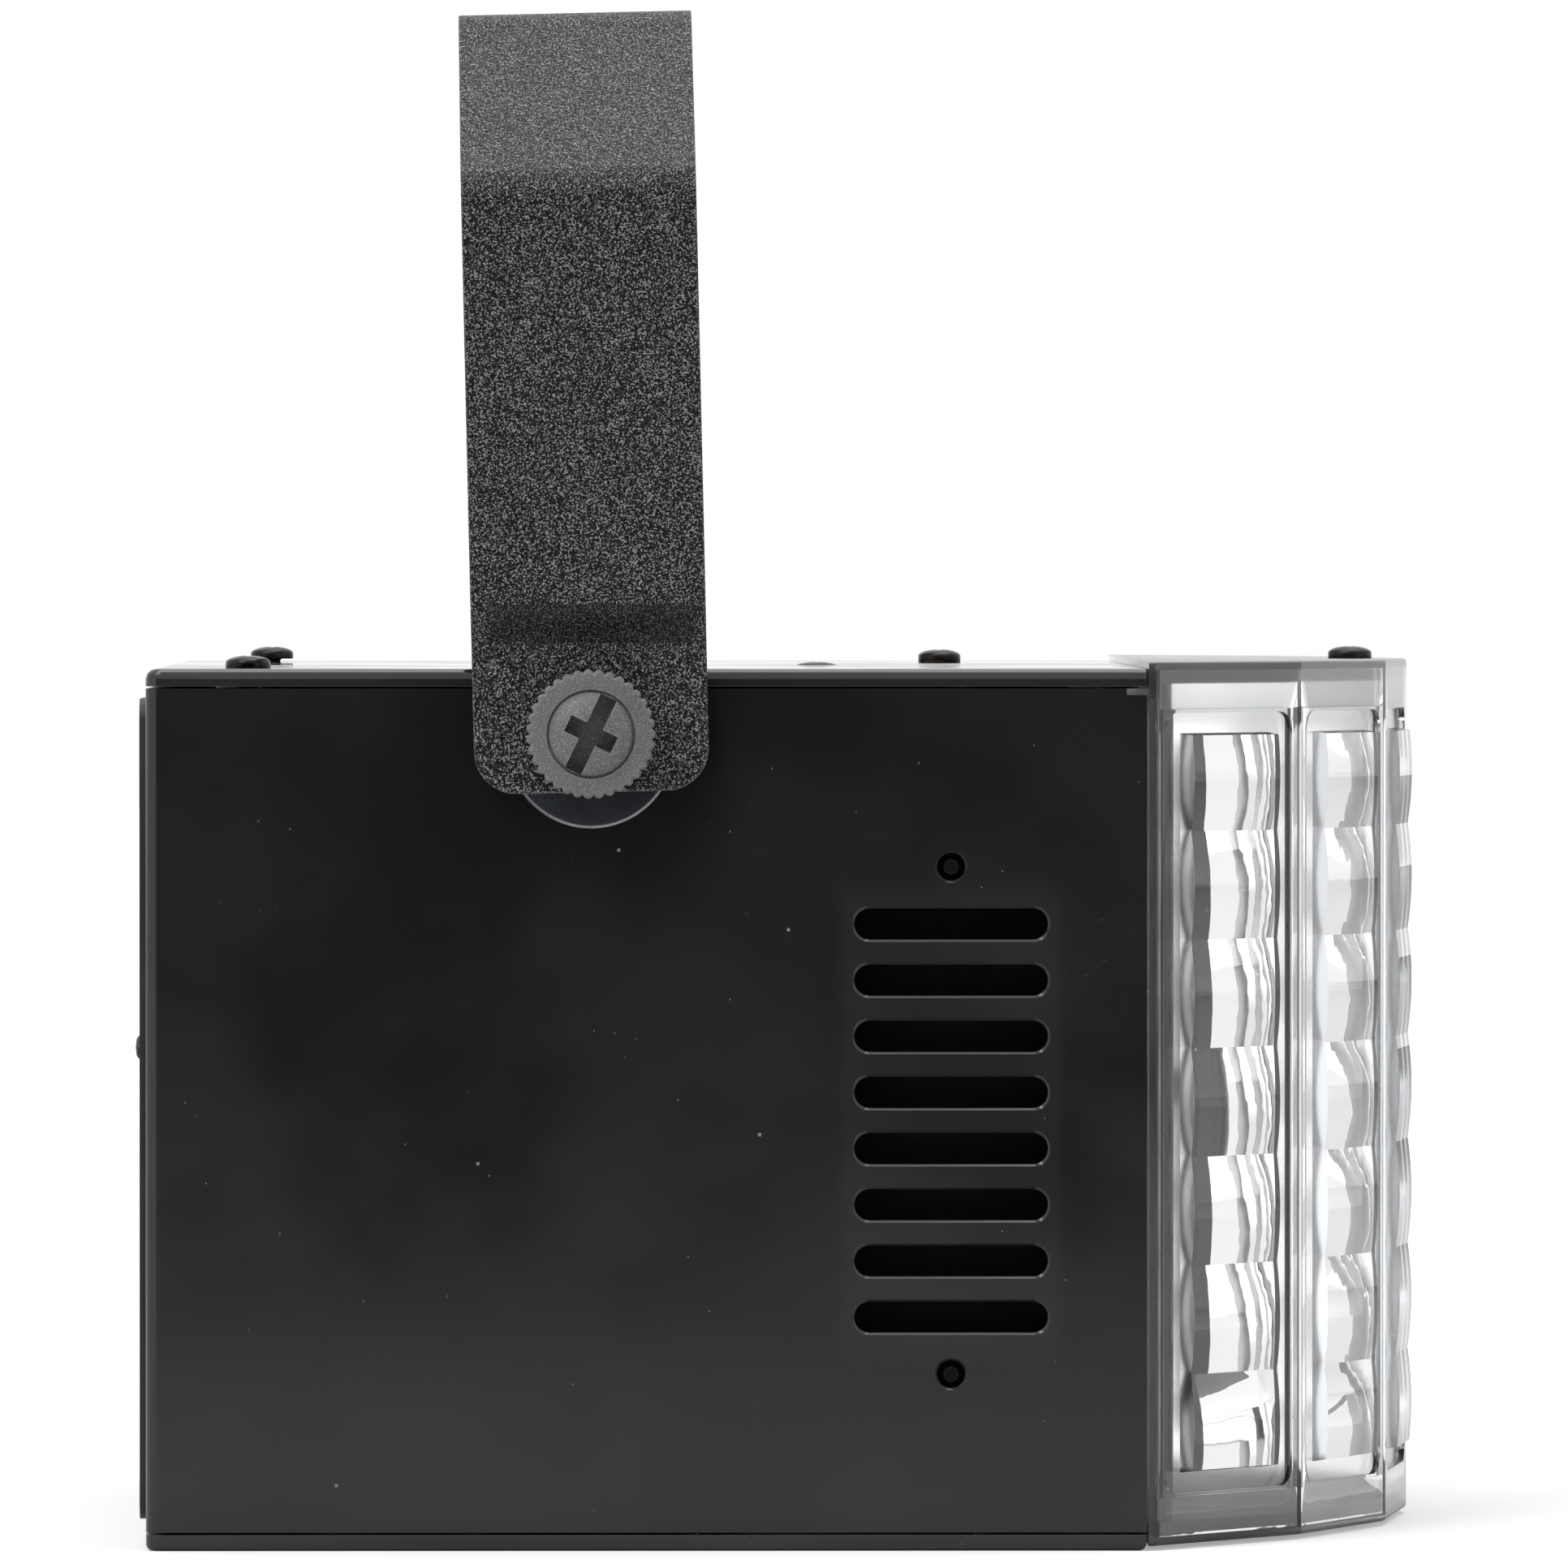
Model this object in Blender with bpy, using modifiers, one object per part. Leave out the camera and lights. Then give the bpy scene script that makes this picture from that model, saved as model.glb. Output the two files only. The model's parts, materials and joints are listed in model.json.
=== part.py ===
"""Derby effect light: a flat-faced housing with a clear lens cover, hung in a tilting yoke.

Units are metres. +X runs forward along the beam, +Y to the far side, +Z up.
The origin is the centre of the housing's flat underside, on the surface it stands on.
"""
import math

import bmesh
import bpy
from mathutils import Matrix, Vector

# General fits
PART_GAP = 0.0003          # gap left between two pieces that touch
EMBED = 0.0003             # how far a moulded boss reaches into the wall that carries it
SCREW_STEPS = 12           # sides of a screw
ROUND_STEPS = 16           # sides of a small round piece
WIDE_STEPS = 28            # sides of a large round piece

# Housing
HOUSING_DEPTH = 0.1365
HOUSING_WIDTH = 0.195
HOUSING_HEIGHT = 0.1203
WALL = 0.0025
LID_THICKNESS = 0.0024
FLOOR_THICKNESS = 0.0022
REAR_CORNER_RADIUS = 0.002
LID_EDGE_RADIUS = 0.0014
FLOOR_EDGE_RADIUS = 0.0008
TAB_THICKNESS = 0.0015     # locating tabs of the lid and the floor, inside the walls
TAB_DEPTH = 0.003
TAB_LENGTH = 0.0235
REAR_TAB_FROM_REAR = 0.02325
FRONT_TAB_FROM_FRONT = 0.03225
REAR_TAB_HALF_WIDTH = 0.040
POST_SIZE = 0.009
POST_FROM_REAR = 0.01375   # from the rear face to the rear screws
POST_FROM_FRONT = 0.02495  # from the front edge to the far front screw
NEAR_POST_X = 0.004
POST_FROM_SIDE = 0.0135    # from the side face to the screws
POST_CLEARANCE = 0.0006    # between a post's end and a vent baffle
SEAM_NOTCH_LENGTH = 0.0027
SEAM_NOTCH_DEPTH = 0.0009

# Side vents
VENT_COUNT = 8
VENT_PITCH = 0.00766
VENT_LENGTH = 0.0264
VENT_HEIGHT = 0.00425
VENT_FROM_FRONT = 0.02665  # from the front edge to the middle of the vents
VENT_DROP = 0.00145        # how far the middle of the vents is below mid-height
VENT_LIP = 0.0004          # bevel round each slot's mouth
VENT_ROUNDING = 0.48       # corner radius as a share of a slot's height
VENT_ROUND_STEPS = 2
PEG_HOLE_RADIUS = 0.0019
PEG_RADIUS = 0.0011
PEG_RECESS = 0.0004
PEG_REACH = 0.0346         # from the middle of the vents to each peg
BAFFLE_STANDOFF = 0.004
BAFFLE_THICKNESS = 0.0012
BAFFLE_MARGIN = 0.0035
PEG_BOSS_RADIUS = 0.003

# Rear plate
REAR_PLATE_THICKNESS = 0.00165
REAR_PLATE_PROUD = 0.00095
REAR_PLATE_SIDE_MARGIN = 0.005
REAR_PLATE_LOW = 0.004
REAR_PLATE_TOP_MARGIN = 0.0041
REAR_PLATE_CORNER = 0.003
REAR_OPENING_MARGIN = 0.0135
REAR_SCREW_MARGIN = 0.0065
REAR_BOSS_RADIUS = 0.0035
REAR_BOSS_LENGTH = 0.005

# Controls and sockets on the rear plate
CONTROL_BOARD_STANDOFF = 0.00985  # from the rear face to the board's front
CONTROL_BOARD_THICKNESS = 0.0016
CONTROL_BOARD_TOP_MARGIN = 0.0163
CONTROL_BOARD_HEIGHT = 0.051
CONTROL_BOARD_SIDE_MARGIN = 0.005
CONTROL_BOARD_WIDTH = 0.092
STANDOFF_RADIUS = 0.0025
STANDOFF_MARGIN = 0.005
BUTTON_COUNT = 4
BUTTON_PITCH = 0.012
BUTTON_INSET = 0.014       # from the board's near edge to the first button
BUTTON_DROP = 0.0363       # from the board's top edge to the buttons
BUTTON_RADIUS = 0.00157
BUTTON_PROUD = 0.0014
BUTTON_TRAVEL = 0.0004
BUTTON_FLANGE_RADIUS = 0.0026
BUTTON_FLANGE_THICKNESS = 0.001
BUTTON_STEM_RADIUS = 0.001
SWITCH_SIZE = 0.006
SWITCH_HEIGHT = 0.0015
DISPLAY_INSET = 0.032
DISPLAY_DROP = 0.016
DISPLAY_WIDTH = 0.030
DISPLAY_HEIGHT = 0.014
DISPLAY_RECESS = 0.0003
MIC_INSET = 0.014          # from the board's far edge to the microphone
MIC_RADIUS = 0.003
MIC_HOLE_RADIUS = 0.001
SOCKET_Z = 0.034
SOCKET_INSET = 0.019       # from the edge of the rear opening to the first socket
SOCKET_PITCH = 0.034
SOCKET_RADIUS = 0.0095
SOCKET_DEPTH = 0.022
SOCKET_FLANGE = 0.013      # half side of the square flange
SOCKET_FLANGE_THICKNESS = 0.0015
SOCKET_RECESS = 0.0002
SOCKET_BORE_RADIUS = 0.0078
SOCKET_BORE_DEPTH = 0.014
PIN_RADIUS = 0.0011
PIN_CIRCLE = 0.0040
PIN_LENGTH = 0.009
PIN_HOLE_RADIUS = 0.0013
PIN_HOLE_DEPTH = 0.010
INLET_INSET = 0.029        # from the edge of the rear opening to the inlet
INLET_Z = 0.034
INLET_WIDTH = 0.030
INLET_HEIGHT = 0.022
INLET_DEPTH = 0.022
INLET_FLANGE_WIDTH = 0.044
INLET_FLANGE_HEIGHT = 0.027
INLET_WALL = 0.0024
INLET_BORE_DEPTH = 0.016
BLADE_WIDTH = 0.004
BLADE_THICKNESS = 0.002
BLADE_LENGTH = 0.010
BLADE_PITCH = 0.007

# Lens cover
COVER_PROUD = 0.0009       # how far the cover stands above the lid
COVER_BOTTOM = 0.0006
COVER_WALL = 0.0012
COVER_RIM = 0.001          # straight rim behind the first facet
COVER_LIP_LENGTH = 0.006
COVER_LIP_WALL = 0.0015
COVER_EDGE_RADIUS = 0.0006
FACET_COUNT = 6
FACET_TURN = math.radians(14.35)
WINDOW_SIDE_MARGIN = 0.0022
WINDOW_END_MARGIN = 0.0069
WINDOW_CORNER_RADIUS = 0.003
PANEL_OVERLAP = 0.0004
PANEL_FLOOR = 0.0008       # depth of the window's flat floor behind the facet's face
PANEL_BACK = 0.0024
LENS_ROWS = 7
PANE_LEDGE = 0.0051        # flat floor beside the lenses
LENS_ROW_PITCH = 0.01485
PANE_END_LEDGE = 0.00315   # flat floor above and below the lenses
LENS_RISE = 0.0014         # how far a lens stands proud of the facet's face
LENS_CURVE_RADIUS = 0.050  # each lens is curved up and down, and straight across
LENS_STEPS = 4             # mesh steps up one lens

# Front chassis under the cover
CHASSIS_SHEET = 0.0016
CHASSIS_CLEARANCE = 0.001
CHASSIS_SIDE_MARGIN = 0.0085
BEAM_HOLE_RADIUS = 0.0135
COVER_SCREW_REACH = 0.03175  # from the housing's front edge to the cover screw
COVER_SCREW_LENGTH = 0.0028

# Yoke
PIVOT_X = -0.0075
PIVOT_DROP = 0.0088        # from the lid's top down to the pivot
YOKE_LEAN = math.radians(1.3)
YOKE_WIDTH = 0.032
YOKE_SHEET = 0.0018
YOKE_TAB_BELOW = 0.008
YOKE_TAB_RADIUS = 0.0058
YOKE_JOG_START = 0.0125
YOKE_JOG_END = 0.0175
YOKE_JOG_OUT = 0.0035
YOKE_SHOULDER_START = 0.0752
YOKE_TOP = 0.0989
YOKE_SHOULDER_IN = 0.028
YOKE_BEND_RUN = 0.002      # flat sheet taken up on each side of a bend
YOKE_HANG_HOLE_RADIUS = 0.0053
YOKE_SLOT_LENGTH = 0.022
YOKE_SLOT_WIDTH = 0.0065
YOKE_SLOT_Y = 0.038

# Pivot hardware
WASHER_THICKNESS = 0.0012
WASHER_RADIUS = 0.0116
WASHER_HOLE_RADIUS = 0.0047
WASHER_DROP = 0.0014
SCREW_SHANK_RADIUS = 0.003
KNOB_RADIUS = 0.0088
KNOB_ROOT_RADIUS = 0.0082
KNOB_TEETH = 35
KNOB_THICKNESS = 0.0062
KNOB_BOSS_RADIUS = 0.00575
KNOB_BOSS_HEIGHT = 0.0022
KNOB_GROOVE_WIDTH = 0.0007
KNOB_GROOVE_DEPTH = 0.0008
KNOB_SLOT_LENGTH = 0.0112
KNOB_SLOT_WIDTH = 0.0021
KNOB_CROSS_LENGTH = 0.007
KNOB_RECESS_DEPTH = 0.0024
KNOB_SLOT_ANGLE = math.radians(64.0)
NUT_RADIUS = 0.0056
NUT_THICKNESS = 0.005

# Small screws
SCREW_HEAD_RADIUS = 0.0031
SCREW_HEAD_HEIGHT = 0.0015
SCREW_THREAD_RADIUS = 0.0014
SCREW_LENGTH = 0.009
SCREW_RECESS_LENGTH = 0.0034
SCREW_RECESS_WIDTH = 0.0008
SCREW_RECESS_DEPTH = 0.0010
COUNTERSUNK_RADIUS = 0.0026
COUNTERSUNK_HEIGHT = 0.0013
PROUD_SCREW_LIFT = 0.0004  # the far rear screw isn't driven quite home
LOW_SCREW_SETBACK = 0.0227  # from the bracket's web to the low screw
LOW_SCREW_Y = -0.005
LOW_SCREW_HEIGHT = 0.00105
LOW_SCREW_SINK = 0.0009    # depth of the counterbore that the low screw sits in

# Optics inside the housing
AXIS_RAISE = 0.00035       # how far the beam axis is above mid-height
BRACKET_SHEET = 0.0015
BRACKET_HALF_WIDTH = 0.019
BRACKET_DEPTH = 0.031
BRACKET_SETBACK = 0.02125  # from the housing's front edge to the bracket's web
MOTOR_RADIUS = 0.0175
MOTOR_LENGTH = 0.022
MOTOR_BOSS_RADIUS = 0.005
MOTOR_BOSS_LENGTH = 0.0012
SHAFT_RADIUS = 0.0025
HEATSINK_THICKNESS = 0.0035
HEATSINK_HALF_WIDTH = 0.046
HEATSINK_HALF_HEIGHT = 0.044
FIN_COUNT = 4              # on each side of the bracket
FIN_PITCH = 0.006
FIN_FIRST_Y = 0.024
FIN_THICKNESS = 0.0018
FIN_DEPTH = 0.018
CENTRE_HOLE_RADIUS = 0.006
LED_BOARD_RADIUS = 0.043
LED_BOARD_THICKNESS = 0.0016
LED_CIRCLE = 0.030
LED_SIZE = 0.008
LED_HEIGHT = 0.0012
LED_NAMES = ("red", "green", "blue", "white")
LENS_FLANGE_RADIUS = 0.0128
LENS_FLANGE_THICKNESS = 0.0015
LENS_BODY_RADIUS = 0.011
LENS_BODY_LENGTH = 0.004
LENS_DOME_HEIGHT = 0.006
HOLDER_THICKNESS = 0.003
HOLDER_RADIUS = 0.0445
HOLDER_LEG_RADIUS = 0.003
HOLDER_LEG_CIRCLE = 0.039
WHEEL_AHEAD = 0.0070       # from the housing's front edge to the wheel
WHEEL_THICKNESS = 0.002
WHEEL_RADIUS = 0.049
WHEEL_HUB_RADIUS = 0.008
WHEEL_HUB_LENGTH = 0.0045
WHEEL_HOLES = 9
WHEEL_HOLE_RADIUS = 0.0075
WHEEL_HOLE_CIRCLE = 0.034
WHEEL_INNER_HOLE_RADIUS = 0.0035
WHEEL_INNER_CIRCLE = 0.018
SHAFT_CLEARANCE = 0.00025

# Power supply inside the housing
SUPPLY_FROM_REAR = 0.01025
SUPPLY_LENGTH = 0.063
SUPPLY_WIDTH = 0.053
SUPPLY_FROM_SIDE = 0.0205
SUPPLY_THICKNESS = 0.0016
SUPPLY_POST_HEIGHT = 0.006
SUPPLY_POST_RADIUS = 0.003
SUPPLY_POST_MARGIN = 0.005
TRANSFORMER_PLACE = (0.036, 0.032)  # from the board's rear near corner
TRANSFORMER_SIZE = (0.026, 0.022, 0.020)
TRANSFORMER_COIL_RADIUS = 0.0085
CAPACITOR_PLACE = (0.054, 0.010)
CAPACITOR_RADIUS = 0.007
CAPACITOR_HEIGHT = 0.026
MAINS_LEAD_RADIUS = 0.0017
SIGNAL_LEAD_RADIUS = 0.0008
LEAD_STEP = 0.0050         # spacing of the points along a lead

# Values that follow from the sizes above
REAR_X = -HOUSING_DEPTH / 2
FRONT_X = HOUSING_DEPTH / 2
SIDE_Y = HOUSING_WIDTH / 2
INNER_Y = SIDE_Y - WALL
NEAR_POSTS_X = (REAR_X + POST_FROM_REAR, NEAR_POST_X)
FAR_POSTS_X = (REAR_X + POST_FROM_REAR, FRONT_X - POST_FROM_FRONT)
POST_Y = SIDE_Y - POST_FROM_SIDE
SIDE_TABS_X = (REAR_X + REAR_TAB_FROM_REAR, FRONT_X - FRONT_TAB_FROM_FRONT - TAB_LENGTH)
VENT_CENTRE_X = FRONT_X - VENT_FROM_FRONT
VENT_CENTRE_Z = HOUSING_HEIGHT / 2 - VENT_DROP
LID_UNDERSIDE = HOUSING_HEIGHT - LID_THICKNESS
SHELL_TOP = LID_UNDERSIDE - PART_GAP
SHELL_BOTTOM = FLOOR_THICKNESS + PART_GAP
POST_TOP = LID_UNDERSIDE - TAB_DEPTH - PART_GAP
POST_BOTTOM = FLOOR_THICKNESS + TAB_DEPTH + PART_GAP
POST_LENGTH = VENT_CENTRE_Z - PEG_REACH - BAFFLE_MARGIN - POST_CLEARANCE - POST_BOTTOM
REAR_PLATE_HALF_WIDTH = SIDE_Y - REAR_PLATE_SIDE_MARGIN
REAR_PLATE_HIGH = HOUSING_HEIGHT - REAR_PLATE_TOP_MARGIN
REAR_OPENING_Y = REAR_PLATE_HALF_WIDTH - REAR_OPENING_MARGIN
PLATE_FACE_X = REAR_X - REAR_PLATE_PROUD
PLATE_BACK_X = PLATE_FACE_X + REAR_PLATE_THICKNESS
CONTROL_BOARD_X = REAR_X + CONTROL_BOARD_STANDOFF
BOARD_BACK_X = CONTROL_BOARD_X - CONTROL_BOARD_THICKNESS
CONTROL_BOARD_HIGH = HOUSING_HEIGHT - CONTROL_BOARD_TOP_MARGIN
CONTROL_BOARD_LOW = CONTROL_BOARD_HIGH - CONTROL_BOARD_HEIGHT
CONTROL_BOARD_NEAR_Y = CONTROL_BOARD_SIDE_MARGIN - REAR_OPENING_Y
CONTROL_BOARD_FAR_Y = CONTROL_BOARD_NEAR_Y + CONTROL_BOARD_WIDTH
BUTTON_FIRST_Y = CONTROL_BOARD_NEAR_Y + BUTTON_INSET
BUTTON_Z = CONTROL_BOARD_HIGH - BUTTON_DROP
DISPLAY_Y = CONTROL_BOARD_NEAR_Y + DISPLAY_INSET
DISPLAY_Z = CONTROL_BOARD_HIGH - DISPLAY_DROP
MIC_Y = CONTROL_BOARD_FAR_Y - MIC_INSET
SOCKET_IN_Y = SOCKET_INSET - REAR_OPENING_Y
SOCKET_OUT_Y = SOCKET_IN_Y + SOCKET_PITCH
INLET_Y = REAR_OPENING_Y - INLET_INSET
SCREW_HOLE_RADIUS = SCREW_THREAD_RADIUS + PART_GAP
COVER_REAR_X = FRONT_X + PART_GAP
COVER_TOP = HOUSING_HEIGHT + COVER_PROUD
COVER_MIDDLE_Z = (COVER_TOP + COVER_BOTTOM) / 2
COVER_SCREW_X = FRONT_X + COVER_SCREW_REACH
LENS_ARRAY_HEIGHT = COVER_TOP - COVER_BOTTOM - 2 * (WINDOW_END_MARGIN + PANE_END_LEDGE)
CHASSIS_HALF_WIDTH = SIDE_Y - CHASSIS_SIDE_MARGIN
PIVOT_Z = HOUSING_HEIGHT - PIVOT_DROP
AXIS_Z = HOUSING_HEIGHT / 2 + AXIS_RAISE
BRACKET_WEB_X = FRONT_X - BRACKET_SETBACK
BRACKET_REAR_X = BRACKET_WEB_X - BRACKET_DEPTH
LOW_SCREW_X = BRACKET_WEB_X - LOW_SCREW_SETBACK
WHEEL_X = FRONT_X + WHEEL_AHEAD
SHANK_HOLE_RADIUS = SCREW_SHANK_RADIUS + PART_GAP
TAB_INNER_Y = SIDE_Y + WASHER_THICKNESS + 2 * PART_GAP
WEB_FRONT_X = BRACKET_WEB_X + BRACKET_SHEET / 2
WEB_REAR_X = BRACKET_WEB_X - BRACKET_SHEET / 2
HEATSINK_REAR_X = WEB_FRONT_X + PART_GAP
LED_BOARD_X = HEATSINK_REAR_X + HEATSINK_THICKNESS + PART_GAP
LED_FACE_X = LED_BOARD_X + LED_BOARD_THICKNESS + LED_HEIGHT
LENS_REAR_X = LED_FACE_X + PART_GAP
HOLDER_REAR_X = LENS_REAR_X + LENS_FLANGE_THICKNESS + PART_GAP
CHASSIS_X = COVER_REAR_X + COVER_RIM + PART_GAP
MOTOR_FRONT_X = WEB_REAR_X - PART_GAP
SUPPLY_Z = FLOOR_THICKNESS + SUPPLY_POST_HEIGHT + PART_GAP
SUPPLY_TOP = SUPPLY_Z + SUPPLY_THICKNESS
SUPPLY_LOW_X = REAR_X + SUPPLY_FROM_REAR
SUPPLY_HIGH_X = SUPPLY_LOW_X + SUPPLY_LENGTH
SUPPLY_HIGH_Y = SIDE_Y - SUPPLY_FROM_SIDE
SUPPLY_LOW_Y = SUPPLY_HIGH_Y - SUPPLY_WIDTH
TRANSFORMER_X = SUPPLY_LOW_X + TRANSFORMER_PLACE[0]
TRANSFORMER_Y = SUPPLY_LOW_Y + TRANSFORMER_PLACE[1]
CAPACITOR_X = SUPPLY_LOW_X + CAPACITOR_PLACE[0]
CAPACITOR_Y = SUPPLY_LOW_Y + CAPACITOR_PLACE[1]
PIVOT = Vector((PIVOT_X, 0.0, PIVOT_Z))

# Finishes: base colour, roughness, metallic, transmission
FINISHES = {
    "gloss_black_plastic": ((0.014, 0.014, 0.015), 0.18, 0.0, 0.0),
    "matt_black_plastic": ((0.018, 0.018, 0.019), 0.55, 0.0, 0.0),
    "clear_plastic": ((0.92, 0.93, 0.94), 0.06, 0.0, 1.0),
    "powder_coat": ((0.020, 0.020, 0.021), 0.60, 0.0, 0.0),
    "black_screw": ((0.025, 0.024, 0.023), 0.35, 0.8, 0.0),
    "grey_knob": ((0.075, 0.075, 0.075), 0.50, 0.0, 0.0),
    "steel": ((0.55, 0.55, 0.54), 0.35, 1.0, 0.0),
    "aluminium": ((0.70, 0.70, 0.71), 0.40, 1.0, 0.0),
    "green_board": ((0.030, 0.110, 0.050), 0.40, 0.0, 0.0),
    "white_board": ((0.750, 0.750, 0.730), 0.45, 0.0, 0.0),
    "brown_core": ((0.180, 0.120, 0.050), 0.50, 0.0, 0.0),
    "blue_sleeve": ((0.030, 0.060, 0.220), 0.35, 0.0, 0.0),
    "grey_lead": ((0.120, 0.120, 0.125), 0.50, 0.0, 0.0),
    "display_face": ((0.030, 0.004, 0.004), 0.10, 0.0, 0.0),
}


def empty_scene():
    """Remove every object and the collections and meshes that they leave behind."""
    for obj in list(bpy.data.objects):
        bpy.data.objects.remove(obj, do_unlink=True)
    for collection in list(bpy.data.collections):
        bpy.data.collections.remove(collection)
    for mesh in list(bpy.data.meshes):
        bpy.data.meshes.remove(mesh)


def new_collection(name):
    collection = bpy.data.collections.new(name)
    bpy.context.scene.collection.children.link(collection)
    return collection


def finish_material(name, finish):
    """A Principled material for one piece, from the named finish."""
    colour, roughness, metallic, transmission = FINISHES[finish]
    material = bpy.data.materials.new(name + "_" + finish)
    material.use_nodes = True
    shader = material.node_tree.nodes["Principled BSDF"]
    shader.inputs["Base Color"].default_value = (*colour, 1.0)
    shader.inputs["Roughness"].default_value = roughness
    shader.inputs["Metallic"].default_value = metallic
    shader.inputs["Transmission Weight"].default_value = transmission
    return material


def place_mesh(name, bm, origin, collection):
    """Make an object of a bmesh drawn in the part's frame, with its origin at the given point."""
    bmesh.ops.translate(bm, verts=bm.verts, vec=-Vector(origin))
    mesh = bpy.data.meshes.new(name)
    bm.to_mesh(mesh)
    bm.free()
    obj = bpy.data.objects.new(name, mesh)
    obj.location = origin
    collection.objects.link(obj)
    return obj


def shade_round(mesh):
    mesh.shade_smooth()
    mesh.set_sharp_from_angle(angle=math.radians(35.0))


def piece(name, bm, finish, origin=(0.0, 0.0, 0.0), smooth=True):
    """A sub-part made of a closed bmesh."""
    obj = place_mesh(name, bm, origin, parts)
    obj.data.materials.append(finish_material(name, finish))
    if smooth:
        shade_round(obj.data)
    return obj


def hide_tool(obj):
    obj.hide_render = True
    obj.display_type = "WIRE"
    return obj


def tool(name, bm):
    """A closed shape that only cuts or joins a sub-part."""
    return hide_tool(place_mesh(name, bm, (0.0, 0.0, 0.0), cutters))


def combine(target, other, operation, crossing):
    modifier = target.modifiers.new(operation.lower() + "_" + other.name, "BOOLEAN")
    modifier.operation = operation
    modifier.object = other
    modifier.solver = "EXACT"
    modifier.use_self = crossing


def cut(target, other, crossing=False):
    """Cut a tool from a sub-part; crossing says that the tool's own shapes cross each other."""
    combine(target, other, "DIFFERENCE", crossing)


def join(target, other, crossing=False):
    """Fuse a tool to a sub-part; crossing says that the tool's own shapes cross each other."""
    combine(target, other, "UNION", crossing)


def block(bm, low, high):
    """Add a box between two corners."""
    low = Vector(low)
    high = Vector(high)
    matrix = Matrix.Translation((low + high) / 2) @ Matrix.Diagonal((*(high - low), 1.0))
    return bmesh.ops.create_cube(bm, size=1.0, matrix=matrix)["verts"]


def edges_along(verts, axis):
    """The edges among these vertices that run along one axis."""
    chosen = []
    for edge in {edge for vert in verts for edge in vert.link_edges}:
        run = edge.verts[0].co - edge.verts[1].co
        if abs(run[axis]) > 0.99 * run.length:
            chosen.append(edge)
    return chosen


def round_off(bm, edges, radius, segments):
    bmesh.ops.bevel(bm, geom=edges, offset=radius, offset_type="OFFSET", segments=segments,
                    profile=0.5, affect="EDGES", material=-1)


def rounded_block(bm, low, high, axis, radius, segments=4):
    """Add a box whose four edges along one axis are rounded."""
    verts = block(bm, low, high)
    round_off(bm, edges_along(verts, axis), radius, segments)


def rod(bm, start, end, radius, segments=ROUND_STEPS, end_radius=None):
    """Add a round bar or cone between two points."""
    start = Vector(start)
    end = Vector(end)
    span = end - start
    turn = span.to_track_quat("Z", "Y").to_matrix().to_4x4()
    matrix = Matrix.Translation((start + end) / 2) @ turn
    made = bmesh.ops.create_cone(bm, cap_ends=True, segments=segments, radius1=radius,
                                 radius2=radius if end_radius is None else end_radius,
                                 depth=span.length, matrix=matrix)
    return made["verts"]


def window_frame(bm, low, high, wall):
    """Add a box with a window through it along X, leaving a frame of the given wall."""
    verts = block(bm, low, high)
    ends = [face for face in {face for vert in verts for face in vert.link_faces}
            if abs(face.normal.x) > 0.9]
    bmesh.ops.inset_individual(bm, faces=ends, thickness=wall, depth=0.0)
    rims = [edge for face in ends for edge in face.edges]
    bmesh.ops.delete(bm, geom=ends, context="FACES_ONLY")
    bmesh.ops.bridge_loops(bm, edges=rims)


def turned(name, profile, place, axis, finish=None, steps=ROUND_STEPS, bored=False):
    """A turned piece: the profile gives radius and height, from the top down its outer side.

    Without a finish it is a tool, which only cuts or joins.
    """
    mesh = bpy.data.meshes.new(name)
    points = [(radius, 0.0, height) for radius, height in profile]
    edges = [(index, index + 1) for index in range(len(points) - 1)]
    if bored:
        edges.append((len(points) - 1, 0))
    mesh.from_pydata(points, edges, [])
    obj = bpy.data.objects.new(name, mesh)
    obj.location = place
    obj.rotation_mode = "QUATERNION"
    obj.rotation_quaternion = Vector(axis).to_track_quat("Z", "Y")
    (parts if finish else cutters).objects.link(obj)
    screw = obj.modifiers.new("turn", "SCREW")
    screw.axis = "Z"
    screw.angle = 2 * math.pi
    screw.steps = steps
    screw.render_steps = steps
    screw.use_merge_vertices = True
    screw.merge_threshold = 0.00001
    screw.use_smooth_shade = True
    if not finish:
        return hide_tool(obj)
    obj.data.materials.append(finish_material(name, finish))
    return obj


def dome(radius, base, height, steps=4):
    """Profile points of a low dome, from its crown down to its rim."""
    points = []
    for index in range(steps + 1):
        angle = math.pi / 2 * index / steps
        points.append((radius * math.sin(angle), base + height * math.cos(angle)))
    return points


def cross_recess(bm, centre, normal, length, width, depth, angle=0.0):
    """Add the two bars of a cross-shaped recess, sunk from a point along the normal."""
    turn = Vector(normal).to_track_quat("Z", "Y").to_matrix().to_4x4()
    for extra in (0.0, math.pi / 2):
        matrix = (Matrix.Translation(centre) @ turn @ Matrix.Rotation(angle + extra, 4, "Z")
                  @ Matrix.Diagonal((length, width, 2 * depth, 1.0)))
        bmesh.ops.create_cube(bm, size=1.0, matrix=matrix)


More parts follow.
